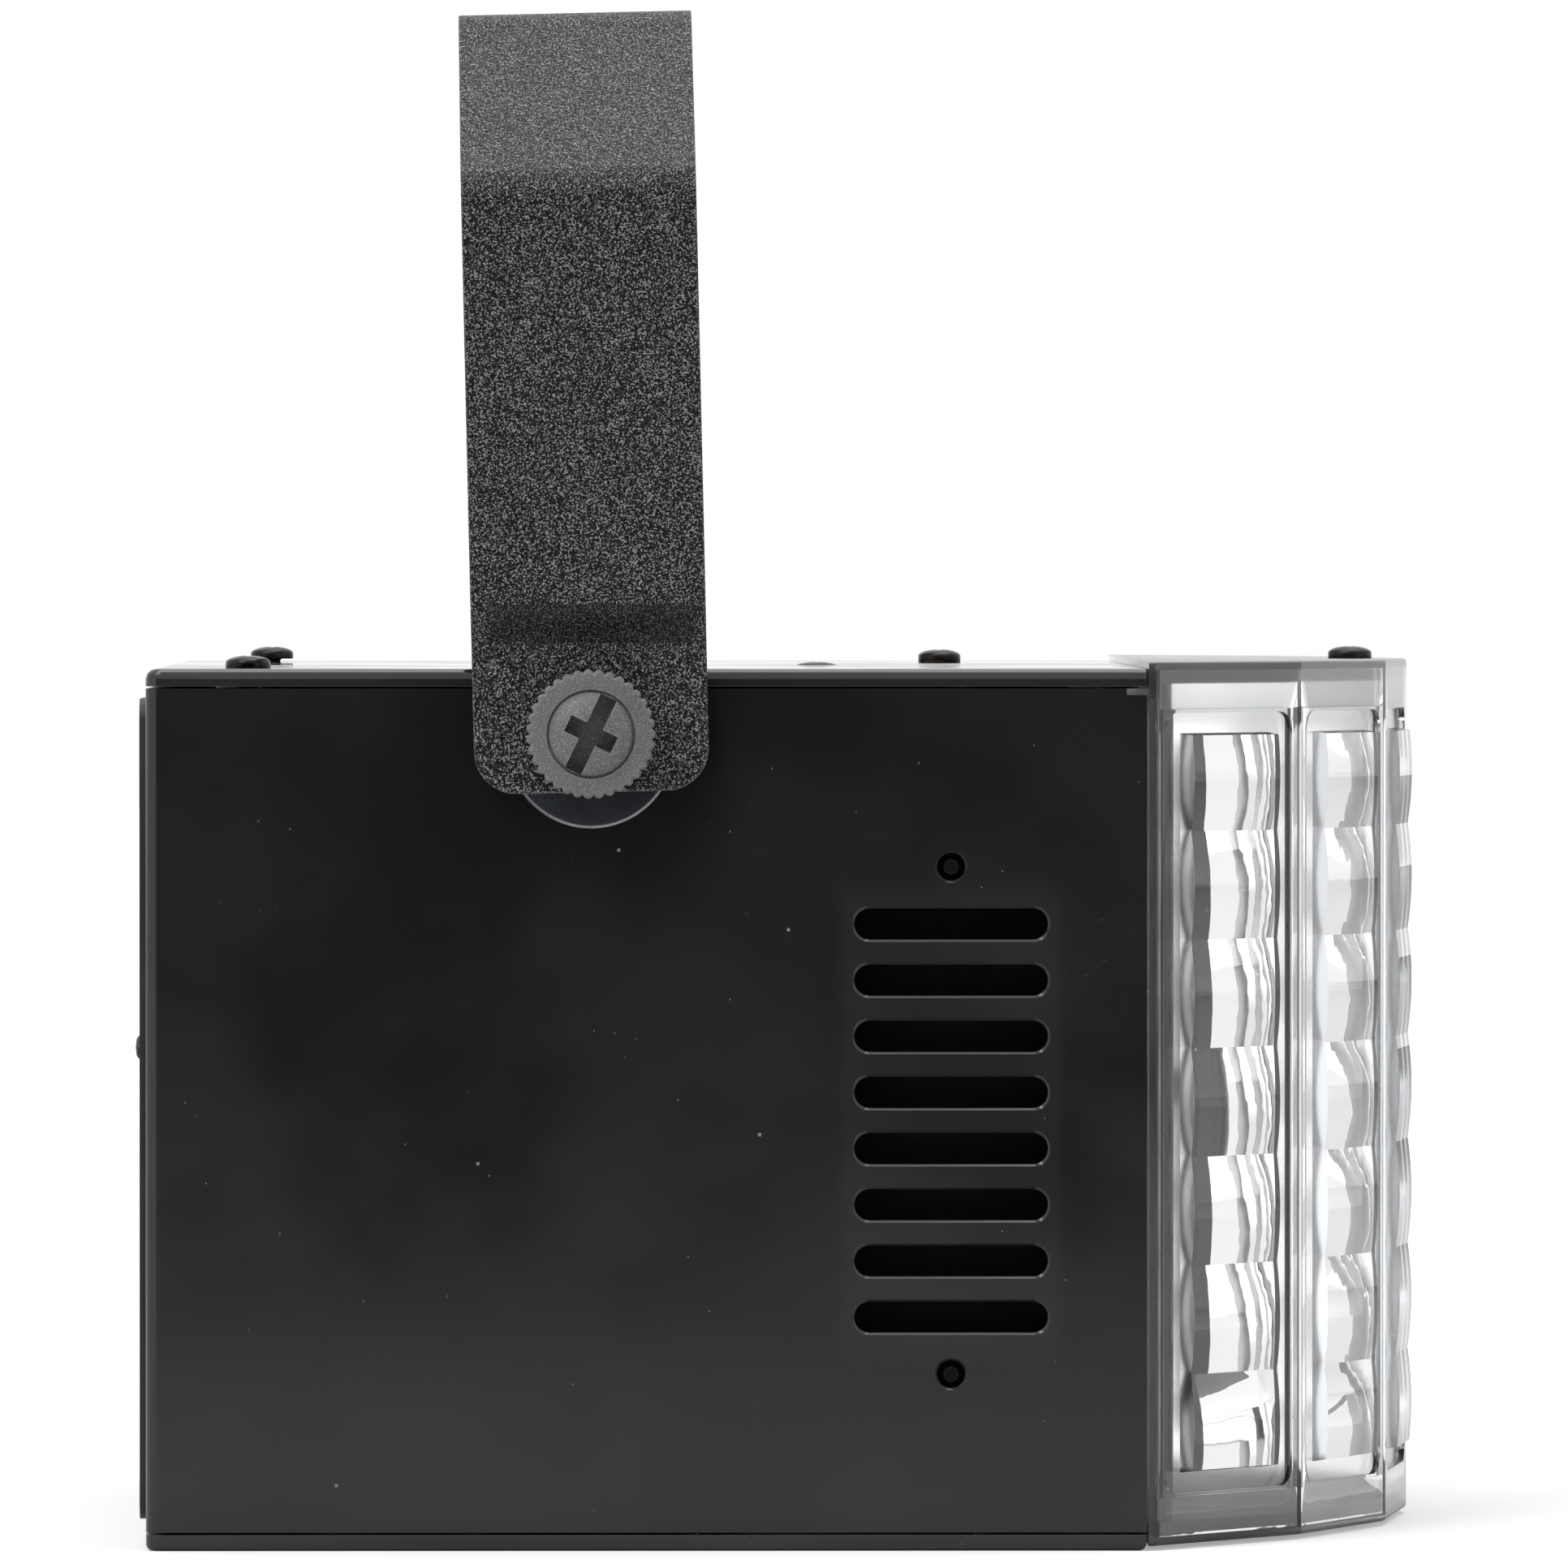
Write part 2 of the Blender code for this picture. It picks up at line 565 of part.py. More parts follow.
def add_screw(name, seat, axis, head_height=SCREW_HEAD_HEIGHT, length=SCREW_LENGTH):
    """A domed cross-head screw whose head rests a small gap above the seat point."""
    axis = Vector(axis)
    place = Vector(seat) + axis * PART_GAP
    edge = head_height * 0.35
    profile = dome(SCREW_HEAD_RADIUS, edge, head_height - edge, 3)
    profile += [(SCREW_HEAD_RADIUS, 0.0), (SCREW_THREAD_RADIUS, 0.0)]
    profile += [(SCREW_THREAD_RADIUS, -length), (0.0, -length - SCREW_THREAD_RADIUS)]
    obj = turned(name, profile, place, axis, "black_screw", SCREW_STEPS)
    bm = bmesh.new()
    recess = min(SCREW_RECESS_DEPTH, 0.8 * head_height)
    cross_recess(bm, place + axis * head_height, axis, SCREW_RECESS_LENGTH, SCREW_RECESS_WIDTH, recess)
    cut(obj, tool(name + "_recess", bm), crossing=True)
    return obj


def add_countersunk_screw(name, seat, axis, length=SCREW_LENGTH):
    """A flat countersunk screw whose face is level with the seat point."""
    axis = Vector(axis)
    profile = [(0.0, 0.0), (COUNTERSUNK_RADIUS, 0.0)]
    profile += [(SCREW_THREAD_RADIUS, -COUNTERSUNK_HEIGHT), (SCREW_THREAD_RADIUS, -length)]
    profile += [(0.0, -length - SCREW_THREAD_RADIUS)]
    obj = turned(name, profile, Vector(seat), axis, "black_screw", SCREW_STEPS)
    bm = bmesh.new()
    cross_recess(bm, Vector(seat), axis, SCREW_RECESS_LENGTH * 0.8, SCREW_RECESS_WIDTH,
                 SCREW_RECESS_DEPTH * 0.7)
    cut(obj, tool(name + "_recess", bm), crossing=True)
    return obj


def countersink(bm, seat, axis):
    """Add the cone that seats a countersunk head, with clearance all round."""
    axis = Vector(axis)
    seat = Vector(seat)
    slope = (COUNTERSUNK_RADIUS - SCREW_THREAD_RADIUS) / COUNTERSUNK_HEIGHT
    above = seat + axis * PART_GAP
    below = seat - axis * (COUNTERSUNK_HEIGHT + PART_GAP)
    rod(bm, below, above, SCREW_HOLE_RADIUS, end_radius=COUNTERSUNK_RADIUS + PART_GAP * (1 + slope))


def post_places():
    """Screw posts in the housing: x, y and the side each stands on."""
    for x in NEAR_POSTS_X:
        yield x, -POST_Y, -1
    for x in FAR_POSTS_X:
        yield x, POST_Y, 1


def build_housing_shell():
    """Side walls and rear wall in one piece, open at the front, top and bottom."""
    bm = bmesh.new()
    verts = block(bm, (REAR_X, -SIDE_Y, SHELL_BOTTOM), (FRONT_X, SIDE_Y, SHELL_TOP))
    rear_edges = [edge for edge in edges_along(verts, 2)
                  if edge.verts[0].co.x < 0]
    round_off(bm, rear_edges, REAR_CORNER_RADIUS, 4)
    bm.normal_update()
    openings = [face for face in bm.faces if abs(face.normal.z) > 0.9 or face.normal.x > 0.9]
    bmesh.ops.delete(bm, geom=openings, context="FACES_ONLY")
    shell = piece("housing_shell", bm, "gloss_black_plastic")
    solidify = shell.modifiers.new("wall", "SOLIDIFY")
    solidify.thickness = WALL
    solidify.offset = -1.0
    solidify.use_even_offset = True

    bm = bmesh.new()
    for x, y, side in post_places():
        near_wall = side * (INNER_Y + EMBED)
        inner = y - side * POST_SIZE / 2
        for low, high in ((POST_BOTTOM, POST_BOTTOM + POST_LENGTH), (POST_TOP - POST_LENGTH, POST_TOP)):
            block(bm, (x - POST_SIZE / 2, min(near_wall, inner), low),
                  (x + POST_SIZE / 2, max(near_wall, inner), high))
    inner_rear = REAR_X + WALL
    for y, z in rear_screw_places():
        rod(bm, (inner_rear - EMBED, y, z), (inner_rear - EMBED + REAR_BOSS_LENGTH, y, z), REAR_BOSS_RADIUS)
    join(shell, tool("shell_posts", bm))

    bm = bmesh.new()
    for x, y, side in post_places():
        rod(bm, (x, y, POST_TOP - POST_LENGTH - PART_GAP), (x, y, POST_TOP + PART_GAP), SCREW_HOLE_RADIUS)
        rod(bm, (x, y, POST_BOTTOM - PART_GAP), (x, y, POST_BOTTOM + POST_LENGTH + PART_GAP),
            SCREW_HOLE_RADIUS)
    for y, z in rear_screw_places():
        rod(bm, (REAR_X - PART_GAP, y, z), (inner_rear + REAR_BOSS_LENGTH, y, z), SCREW_HOLE_RADIUS)
    pocket_back = PLATE_BACK_X + PART_GAP
    reach = REAR_PLATE_HALF_WIDTH + PART_GAP
    rounded_block(bm, (REAR_X - WALL, -reach, REAR_PLATE_LOW - PART_GAP),
                  (pocket_back, reach, REAR_PLATE_HIGH + PART_GAP), 0, REAR_PLATE_CORNER)
    cut(shell, tool("shell_holes", bm), crossing=True)

    bm = bmesh.new()
    rounded_block(bm, (REAR_X - 2 * WALL, -REAR_OPENING_Y, REAR_PLATE_LOW + REAR_OPENING_MARGIN),
                  (REAR_X + 2 * WALL, REAR_OPENING_Y, REAR_PLATE_HIGH - REAR_OPENING_MARGIN), 0,
                  REAR_PLATE_CORNER)
    for side in (-1, 1):
        rod(bm, (PIVOT_X, side * (INNER_Y - WALL), PIVOT_Z), (PIVOT_X, side * (SIDE_Y + WALL), PIVOT_Z),
            SHANK_HOLE_RADIUS)
        for peg_z in peg_heights():
            rod(bm, (VENT_CENTRE_X, side * (INNER_Y - WALL), peg_z),
                (VENT_CENTRE_X, side * (SIDE_Y + WALL), peg_z), PEG_HOLE_RADIUS)
        low_y = min(side * (INNER_Y - WALL), side * (SIDE_Y + WALL))
        block(bm, (FRONT_X - SEAM_NOTCH_LENGTH, low_y, SHELL_TOP - SEAM_NOTCH_DEPTH),
              (FRONT_X + WALL, low_y + 3 * WALL, SHELL_TOP + WALL))
        for index in range(VENT_COUNT):
            vent_slot(bm, side, vent_height(index))
    cut(shell, tool("shell_openings", bm), crossing=True)


def rear_screw_places():
    """The rear plate's four corner screws: y and z."""
    for y in (-1, 1):
        for z in (REAR_PLATE_LOW + REAR_SCREW_MARGIN, REAR_PLATE_HIGH - REAR_SCREW_MARGIN):
            yield y * (REAR_PLATE_HALF_WIDTH - REAR_SCREW_MARGIN), z


def vent_height(index):
    return VENT_CENTRE_Z + (index - (VENT_COUNT - 1) / 2) * VENT_PITCH


def peg_heights():
    return VENT_CENTRE_Z - PEG_REACH, VENT_CENTRE_Z + PEG_REACH


def vent_slot(bm, side, z):
    """Add one round-ended slot through a side wall, and the flare that bevels its mouth."""
    start = Vector((VENT_CENTRE_X - VENT_LENGTH / 2, 0.0, z - VENT_HEIGHT / 2))
    end = Vector((VENT_CENTRE_X + VENT_LENGTH / 2, 0.0, z + VENT_HEIGHT / 2))
    radius = VENT_HEIGHT * VENT_ROUNDING
    start.y, end.y = sorted((side * (INNER_Y - WALL), side * (SIDE_Y + WALL)))
    rounded_block(bm, start, end, 1, radius, VENT_ROUND_STEPS)
    slot = set(bm.verts)
    start.y, end.y = sorted((side * (SIDE_Y - 2 * VENT_LIP), side * (SIDE_Y + VENT_LIP)))
    rounded_block(bm, start, end, 1, radius, VENT_ROUND_STEPS)
    centre = (start + end) / 2
    for vert in set(bm.verts) - slot:
        widen = 2 * VENT_LIP if abs(vert.co.y) > SIDE_Y else -VENT_LIP
        vert.co.x = centre.x + (vert.co.x - centre.x) * (1 + 2 * widen / VENT_LENGTH)
        vert.co.z = centre.z + (vert.co.z - centre.z) * (1 + 2 * widen / VENT_HEIGHT)


def add_tabs(bm, low, high):
    """Add the locating tabs that reach inside the walls, between two heights."""
    outer = INNER_Y - PART_GAP
    for side in (-1, 1):
        for start in SIDE_TABS_X:
            edges = sorted((side * outer, side * (outer - TAB_THICKNESS)))
            block(bm, (start, edges[0], low), (start + TAB_LENGTH, edges[1], high))
    rear = REAR_X + WALL + PART_GAP
    block(bm, (rear, -REAR_TAB_HALF_WIDTH, low), (rear + TAB_THICKNESS, REAR_TAB_HALF_WIDTH, high))
    for x, y, side in post_places():
        rod(bm, (x, y, low), (x, y, high), POST_SIZE / 2)


def build_lid():
    """Flat lid with rounded upper edges, held by screws in the housing's posts."""
    bm = bmesh.new()
    verts = block(bm, (REAR_X, -SIDE_Y, LID_UNDERSIDE), (FRONT_X, SIDE_Y, HOUSING_HEIGHT))
    round_off(bm, [edge for edge in edges_along(verts, 2) if edge.verts[0].co.x < 0],
              REAR_CORNER_RADIUS, 4)
    bm.normal_update()
    upper = [edge for edge in bm.edges
             if all(abs(vert.co.z - HOUSING_HEIGHT) < PART_GAP for vert in edge.verts)
             and not all(abs(vert.co.x - FRONT_X) < PART_GAP for vert in edge.verts)]
    round_off(bm, upper, LID_EDGE_RADIUS, 3)
    lid = piece("top_lid", bm, "gloss_black_plastic")
    bm = bmesh.new()
    add_tabs(bm, LID_UNDERSIDE - TAB_DEPTH, LID_UNDERSIDE + EMBED)
    join(lid, tool("lid_tabs", bm))
    bm = bmesh.new()
    for x, y, side in post_places():
        rod(bm, (x, y, LID_UNDERSIDE - 2 * TAB_DEPTH), (x, y, HOUSING_HEIGHT + TAB_DEPTH), SCREW_HOLE_RADIUS)
    rod(bm, (LOW_SCREW_X, LOW_SCREW_Y, LID_UNDERSIDE - TAB_DEPTH),
        (LOW_SCREW_X, LOW_SCREW_Y, HOUSING_HEIGHT + TAB_DEPTH), SCREW_HOLE_RADIUS)
    rod(bm, (LOW_SCREW_X, LOW_SCREW_Y, HOUSING_HEIGHT - LOW_SCREW_SINK),
        (LOW_SCREW_X, LOW_SCREW_Y, HOUSING_HEIGHT + TAB_DEPTH), SCREW_HEAD_RADIUS + PART_GAP)
    cut(lid, tool("lid_holes", bm), crossing=True)


def build_floor():
    """Flat floor that the light stands on, screwed up into the housing's posts."""
    bm = bmesh.new()
    verts = block(bm, (REAR_X, -SIDE_Y, 0.0), (FRONT_X, SIDE_Y, FLOOR_THICKNESS))
    round_off(bm, [edge for edge in edges_along(verts, 2) if edge.verts[0].co.x < 0],
              REAR_CORNER_RADIUS, 4)
    lower = [edge for edge in bm.edges if all(abs(vert.co.z) < PART_GAP for vert in edge.verts)]
    round_off(bm, lower, FLOOR_EDGE_RADIUS, 2)
    floor = piece("bottom_plate", bm, "gloss_black_plastic")
    bm = bmesh.new()
    add_tabs(bm, FLOOR_THICKNESS - EMBED, FLOOR_THICKNESS + TAB_DEPTH)
    for x, y in supply_corners():
        rod(bm, (x, y, FLOOR_THICKNESS - EMBED), (x, y, FLOOR_THICKNESS + SUPPLY_POST_HEIGHT),
            SUPPLY_POST_RADIUS)
    join(floor, tool("floor_tabs", bm))
    bm = bmesh.new()
    for x, y, side in post_places():
        rod(bm, (x, y, -TAB_DEPTH), (x, y, FLOOR_THICKNESS + 2 * TAB_DEPTH), SCREW_HOLE_RADIUS)
        rod(bm, (x, y, -TAB_DEPTH), (x, y, floor_screw_seat()), SCREW_HEAD_RADIUS + PART_GAP)
    cut(floor, tool("floor_holes", bm), crossing=True)


def floor_screw_seat():
    """Height of the counterbore's seat above the underside."""
    return SCREW_HEAD_HEIGHT + 2 * PART_GAP


def supply_corners():
    """The power supply board's four fixing points."""
    for x in (SUPPLY_LOW_X + SUPPLY_POST_MARGIN, SUPPLY_HIGH_X - SUPPLY_POST_MARGIN):
        for y in (SUPPLY_LOW_Y + SUPPLY_POST_MARGIN, SUPPLY_HIGH_Y - SUPPLY_POST_MARGIN):
            yield x, y


def add_housing_screws():
    """Domed screws in the lid, recessed ones in the floor, and the low one over the bracket."""
    for index, (x, y, side) in enumerate(post_places()):
        lift = PROUD_SCREW_LIFT if side > 0 and x < 0 else 0.0
        add_screw(f"lid_screw_{index + 1}", (x, y, HOUSING_HEIGHT + lift), (0, 0, 1))
        add_screw(f"floor_screw_{index + 1}", (x, y, floor_screw_seat()), (0, 0, -1))
    add_screw("lid_screw_low", (LOW_SCREW_X, LOW_SCREW_Y, HOUSING_HEIGHT - LOW_SCREW_SINK), (0, 0, 1),
              head_height=LOW_SCREW_HEIGHT)
    for index, (y, z) in enumerate(rear_screw_places()):
        add_countersunk_screw(f"rear_plate_screw_{index + 1}", (PLATE_FACE_X, y, z), (-1, 0, 0))


def build_vent_baffle(name, side):
    """Plate behind the vents, on two bosses whose pegs pass through the side wall."""
    outer = INNER_Y - BAFFLE_STANDOFF
    near, far = sorted((side * outer, side * (outer - BAFFLE_THICKNESS)))
    half_length = VENT_LENGTH / 2 + BAFFLE_MARGIN
    half_height = PEG_REACH + BAFFLE_MARGIN
    bm = bmesh.new()
    block(bm, (VENT_CENTRE_X - half_length, near, VENT_CENTRE_Z - half_height),
          (VENT_CENTRE_X + half_length, far, VENT_CENTRE_Z + half_height))
    baffle = piece(name, bm, "matt_black_plastic", smooth=False)
    bm = bmesh.new()
    for z in peg_heights():
        rod(bm, (VENT_CENTRE_X, side * (outer - EMBED), z),
            (VENT_CENTRE_X, side * (INNER_Y - PART_GAP), z), PEG_BOSS_RADIUS, ROUND_STEPS // 2)
        rod(bm, (VENT_CENTRE_X, side * (INNER_Y - PART_GAP - EMBED), z),
            (VENT_CENTRE_X, side * (SIDE_Y - PEG_RECESS), z), PEG_RADIUS, ROUND_STEPS // 2)
    join(baffle, tool(name + "_pegs", bm), crossing=True)


def board_corners():
    """The control board's four fixing points: y and z."""
    for y in (CONTROL_BOARD_NEAR_Y + STANDOFF_MARGIN, CONTROL_BOARD_FAR_Y - STANDOFF_MARGIN):
        for z in (CONTROL_BOARD_LOW + STANDOFF_MARGIN, CONTROL_BOARD_HIGH - STANDOFF_MARGIN):
            yield y, z


def button_places():
    for index in range(BUTTON_COUNT):
        yield BUTTON_FIRST_Y + index * BUTTON_PITCH


def build_rear_plate():
    """Flat plate with the display window, button holes and socket openings."""
    bm = bmesh.new()
    rounded_block(bm, (PLATE_FACE_X, -REAR_PLATE_HALF_WIDTH, REAR_PLATE_LOW),
                  (PLATE_BACK_X, REAR_PLATE_HALF_WIDTH, REAR_PLATE_HIGH), 0, REAR_PLATE_CORNER)
    plate = piece("rear_plate", bm, "matt_black_plastic")
    bm = bmesh.new()
    for y, z in board_corners():
        rod(bm, (PLATE_BACK_X - EMBED, y, z), (BOARD_BACK_X - PART_GAP, y, z), STANDOFF_RADIUS,
            ROUND_STEPS // 2)
    join(plate, tool("plate_standoffs", bm))

    front = PLATE_FACE_X - WALL
    back = PLATE_BACK_X + EMBED
    bm = bmesh.new()
    for y in button_places():
        rod(bm, (front, y, BUTTON_Z), (back, y, BUTTON_Z), BUTTON_RADIUS + PART_GAP, ROUND_STEPS // 2)
    rod(bm, (front, MIC_Y, DISPLAY_Z), (back, MIC_Y, DISPLAY_Z), MIC_HOLE_RADIUS, ROUND_STEPS // 2)
    half_width = DISPLAY_WIDTH / 2 + PART_GAP
    half_height = DISPLAY_HEIGHT / 2 + PART_GAP
    block(bm, (front, DISPLAY_Y - half_width, DISPLAY_Z - half_height),
          (back, DISPLAY_Y + half_width, DISPLAY_Z + half_height))
    for y in (SOCKET_IN_Y, SOCKET_OUT_Y):
        rod(bm, (front, y, SOCKET_Z), (back, y, SOCKET_Z), SOCKET_RADIUS + PART_GAP)
    half_width = INLET_WIDTH / 2 + PART_GAP
    half_height = INLET_HEIGHT / 2 + PART_GAP
    block(bm, (front, INLET_Y - half_width, INLET_Z - half_height),
          (back, INLET_Y + half_width, INLET_Z + half_height))
    for y, z in rear_screw_places():
        rod(bm, (front, y, z), (back, y, z), SCREW_HOLE_RADIUS)
        countersink(bm, (PLATE_FACE_X, y, z), (-1, 0, 0))
    cut(plate, tool("plate_openings", bm), crossing=True)


def add_buttons():
    """Round caps that slide in the rear plate and press the switches on the board behind."""
    stem_end = BOARD_BACK_X - SWITCH_HEIGHT - BUTTON_TRAVEL - PART_GAP
    flange = -(REAR_PLATE_THICKNESS + PART_GAP)
    crown = BUTTON_PROUD * 0.25
    profile = dome(BUTTON_RADIUS, BUTTON_PROUD - crown, crown, 2)
    profile += [(BUTTON_RADIUS, flange), (BUTTON_FLANGE_RADIUS, flange)]
    profile += [(BUTTON_FLANGE_RADIUS, flange - BUTTON_FLANGE_THICKNESS)]
    profile += [(BUTTON_STEM_RADIUS, flange - BUTTON_FLANGE_THICKNESS)]
    profile += [(BUTTON_STEM_RADIUS, PLATE_FACE_X - stem_end), (0.0, PLATE_FACE_X - stem_end)]
    for index, y in enumerate(button_places()):
        turned(f"button_{index + 1}", profile, (PLATE_FACE_X, y, BUTTON_Z), (-1, 0, 0),
               "matt_black_plastic", steps=ROUND_STEPS // 2)


def build_control_board():
    """Board behind the rear plate, with a switch for each button and the display's driver."""
    bm = bmesh.new()
    block(bm, (BOARD_BACK_X, CONTROL_BOARD_NEAR_Y, CONTROL_BOARD_LOW),
          (CONTROL_BOARD_X, CONTROL_BOARD_FAR_Y, CONTROL_BOARD_HIGH))
    board = piece("control_board", bm, "green_board", smooth=False)
    bm = bmesh.new()
    half = SWITCH_SIZE / 2
    for y in button_places():
        block(bm, (BOARD_BACK_X - SWITCH_HEIGHT, y - half, BUTTON_Z - half),
              (BOARD_BACK_X + EMBED, y + half, BUTTON_Z + half))
    block(bm, (CONTROL_BOARD_X - EMBED, DISPLAY_Y - 2 * half, DISPLAY_Z - 2 * half),
          (CONTROL_BOARD_X + SWITCH_HEIGHT, DISPLAY_Y + 2 * half, DISPLAY_Z + 2 * half))
    join(board, tool("board_parts", bm))

    bm = bmesh.new()
    block(bm, (PLATE_FACE_X + DISPLAY_RECESS, DISPLAY_Y - DISPLAY_WIDTH / 2, DISPLAY_Z - DISPLAY_HEIGHT / 2),
          (BOARD_BACK_X - PART_GAP, DISPLAY_Y + DISPLAY_WIDTH / 2, DISPLAY_Z + DISPLAY_HEIGHT / 2))
    piece("display_module", bm, "display_face", smooth=False)
    bm = bmesh.new()
    rod(bm, (PLATE_BACK_X + PART_GAP, MIC_Y, DISPLAY_Z), (BOARD_BACK_X - PART_GAP, MIC_Y, DISPLAY_Z),
        MIC_RADIUS)
    piece("microphone", bm, "aluminium")


def pin_places(y, radius_from_axis):
    """Three contacts on a circle, spread like a triangle with its point down."""
    for step in (0, 1, 2):
        angle = math.radians(30.0 + 120.0 * step)
        yield y + radius_from_axis * math.cos(angle), SOCKET_Z + radius_from_axis * math.sin(angle)


def build_socket(name, y, with_pins):
    """Round three-pole socket held behind the rear plate by a square flange."""
    face = PLATE_FACE_X + SOCKET_RECESS
    bm = bmesh.new()
    rod(bm, (face, y, SOCKET_Z), (face + SOCKET_DEPTH, y, SOCKET_Z), SOCKET_RADIUS, WIDE_STEPS // 2)
    socket = piece(name, bm, "matt_black_plastic")
    flange_x = PLATE_BACK_X + PART_GAP
    bm = bmesh.new()
    block(bm, (flange_x, y - SOCKET_FLANGE, SOCKET_Z - SOCKET_FLANGE),
          (flange_x + SOCKET_FLANGE_THICKNESS, y + SOCKET_FLANGE, SOCKET_Z + SOCKET_FLANGE))
    join(socket, tool(name + "_flange", bm))
    bore_depth = SOCKET_BORE_DEPTH if with_pins else SOCKET_BORE_DEPTH - PIN_LENGTH
    bm = bmesh.new()
    rod(bm, (face - EMBED, y, SOCKET_Z), (face + bore_depth, y, SOCKET_Z), SOCKET_BORE_RADIUS,
        WIDE_STEPS // 2)
    if not with_pins:
        for pin_y, pin_z in pin_places(y, PIN_CIRCLE):
            rod(bm, (face + bore_depth - EMBED, pin_y, pin_z),
                (face + bore_depth + PIN_HOLE_DEPTH, pin_y, pin_z), PIN_HOLE_RADIUS, ROUND_STEPS // 2)
    cut(socket, tool(name + "_bore", bm), crossing=True)
    if with_pins:
        bm = bmesh.new()
        for pin_y, pin_z in pin_places(y, PIN_CIRCLE):
            rod(bm, (face + bore_depth + EMBED, pin_y, pin_z),
                (face + bore_depth - PIN_LENGTH, pin_y, pin_z), PIN_RADIUS, ROUND_STEPS // 2)
        join(socket, tool(name + "_pins", bm))


def build_power_inlet():
    """Rectangular mains inlet with three flat blades, flush with the rear plate."""
    face = PLATE_FACE_X + SOCKET_RECESS
    bm = bmesh.new()
    rounded_block(bm, (face, INLET_Y - INLET_WIDTH / 2, INLET_Z - INLET_HEIGHT / 2),
                  (face + INLET_DEPTH, INLET_Y + INLET_WIDTH / 2, INLET_Z + INLET_HEIGHT / 2),
                  0, INLET_WALL, 2)
    inlet = piece("power_inlet", bm, "matt_black_plastic")
    flange_x = PLATE_BACK_X + PART_GAP
    bm = bmesh.new()
    block(bm, (flange_x, INLET_Y - INLET_FLANGE_WIDTH / 2, INLET_Z - INLET_FLANGE_HEIGHT / 2),
          (flange_x + SOCKET_FLANGE_THICKNESS, INLET_Y + INLET_FLANGE_WIDTH / 2,
           INLET_Z + INLET_FLANGE_HEIGHT / 2))
    join(inlet, tool("inlet_flange", bm))
    bm = bmesh.new()
    half_width = INLET_WIDTH / 2 - INLET_WALL
    half_height = INLET_HEIGHT / 2 - INLET_WALL
    block(bm, (face - EMBED, INLET_Y - half_width, INLET_Z - half_height),
          (face + INLET_BORE_DEPTH, INLET_Y + half_width, INLET_Z + half_height))
    cut(inlet, tool("inlet_bore", bm))
    bm = bmesh.new()
    floor_x = face + INLET_BORE_DEPTH
    for offset, raise_z in ((-1, -BLADE_WIDTH / 2), (0, BLADE_WIDTH / 2), (1, -BLADE_WIDTH / 2)):
        y = INLET_Y + offset * BLADE_PITCH
        z = INLET_Z + raise_z
        block(bm, (floor_x - BLADE_LENGTH, y - BLADE_THICKNESS / 2, z - BLADE_WIDTH / 2),
              (floor_x + EMBED, y + BLADE_THICKNESS / 2, z + BLADE_WIDTH / 2))
    join(inlet, tool("inlet_blades", bm))


def facet_turns():
    """Heading of each facet's outward normal from +X, from the near side to the far side."""
    return [FACET_TURN * (index - (FACET_COUNT - 1) / 2) for index in range(FACET_COUNT)]


def facet_width():
    """Width that lets the facets span the housing from side to side."""
    return HOUSING_WIDTH / sum(math.cos(turn) for turn in facet_turns())


def bow_corners(inset):
    """Plan corners of the bow from the near side to the far side, moved in by an even inset."""
    normals = [Vector((math.cos(turn), math.sin(turn), 0.0)) for turn in facet_turns()]
    normals = [Vector((0.0, -1.0, 0.0))] + normals + [Vector((0.0, 1.0, 0.0))]
    corner = Vector((COVER_REAR_X + COVER_RIM, -SIDE_Y, 0.0))
    corners = []
    for before, after in zip(normals, normals[1:]):
        corners.append(corner - (before + after) * inset / (1 + before.dot(after)))
        corner = corner + Vector((-after.y, after.x, 0.0)) * facet_width()
    return corners


def facet_matrices():
    """Each facet's own frame: X across it, Y up, Z out of its face, from its middle."""
    corners = bow_corners(0.0)
    for turn, start, end in zip(facet_turns(), corners, corners[1:]):
        centre = (start + end) / 2
        centre.z = COVER_MIDDLE_Z
        frame = Matrix(((-math.sin(turn), 0.0, math.cos(turn)),
                        (math.cos(turn), 0.0, math.sin(turn)),
                        (0.0, 1.0, 0.0)))
        yield Matrix.Translation(centre) @ frame.to_4x4()


def plate_from_outline(bm, points, low, high):
    """Add a flat plate with the given plan, between two heights."""
    base = bm.faces.new([bm.verts.new((point.x, point.y, low)) for point in points])
    raised = bmesh.ops.extrude_face_region(bm, geom=[base])
    verts = [item for item in raised["geom"] if isinstance(item, bmesh.types.BMVert)]
    bmesh.ops.translate(bm, verts=verts, vec=(0.0, 0.0, high - low))
    bmesh.ops.recalc_face_normals(bm, faces=bm.faces)


def lens_width():
    """Width of the column of lenses, which fills the window but for a ledge on each side."""
    return facet_width() - 2 * (WINDOW_SIDE_MARGIN + PANE_LEDGE)


def row_edge(index):
    """Height of a boundary between two rows of lenses; the end rows are cut shorter."""
    limit = LENS_ARRAY_HEIGHT / 2
    return max(-limit, min(limit, (index - LENS_ROWS / 2) * LENS_ROW_PITCH))


def lens_height(up):
    """Height of the lens surface over the facet's face, from how high on the pane it is."""
    middle = (LENS_ROWS - 1) / 2
    row = max(0, min(LENS_ROWS - 1, round(up / LENS_ROW_PITCH + middle)))
    reach = up - (row - middle) * LENS_ROW_PITCH
    return max(-PANEL_FLOOR, LENS_RISE - reach ** 2 / (2 * LENS_CURVE_RADIUS))


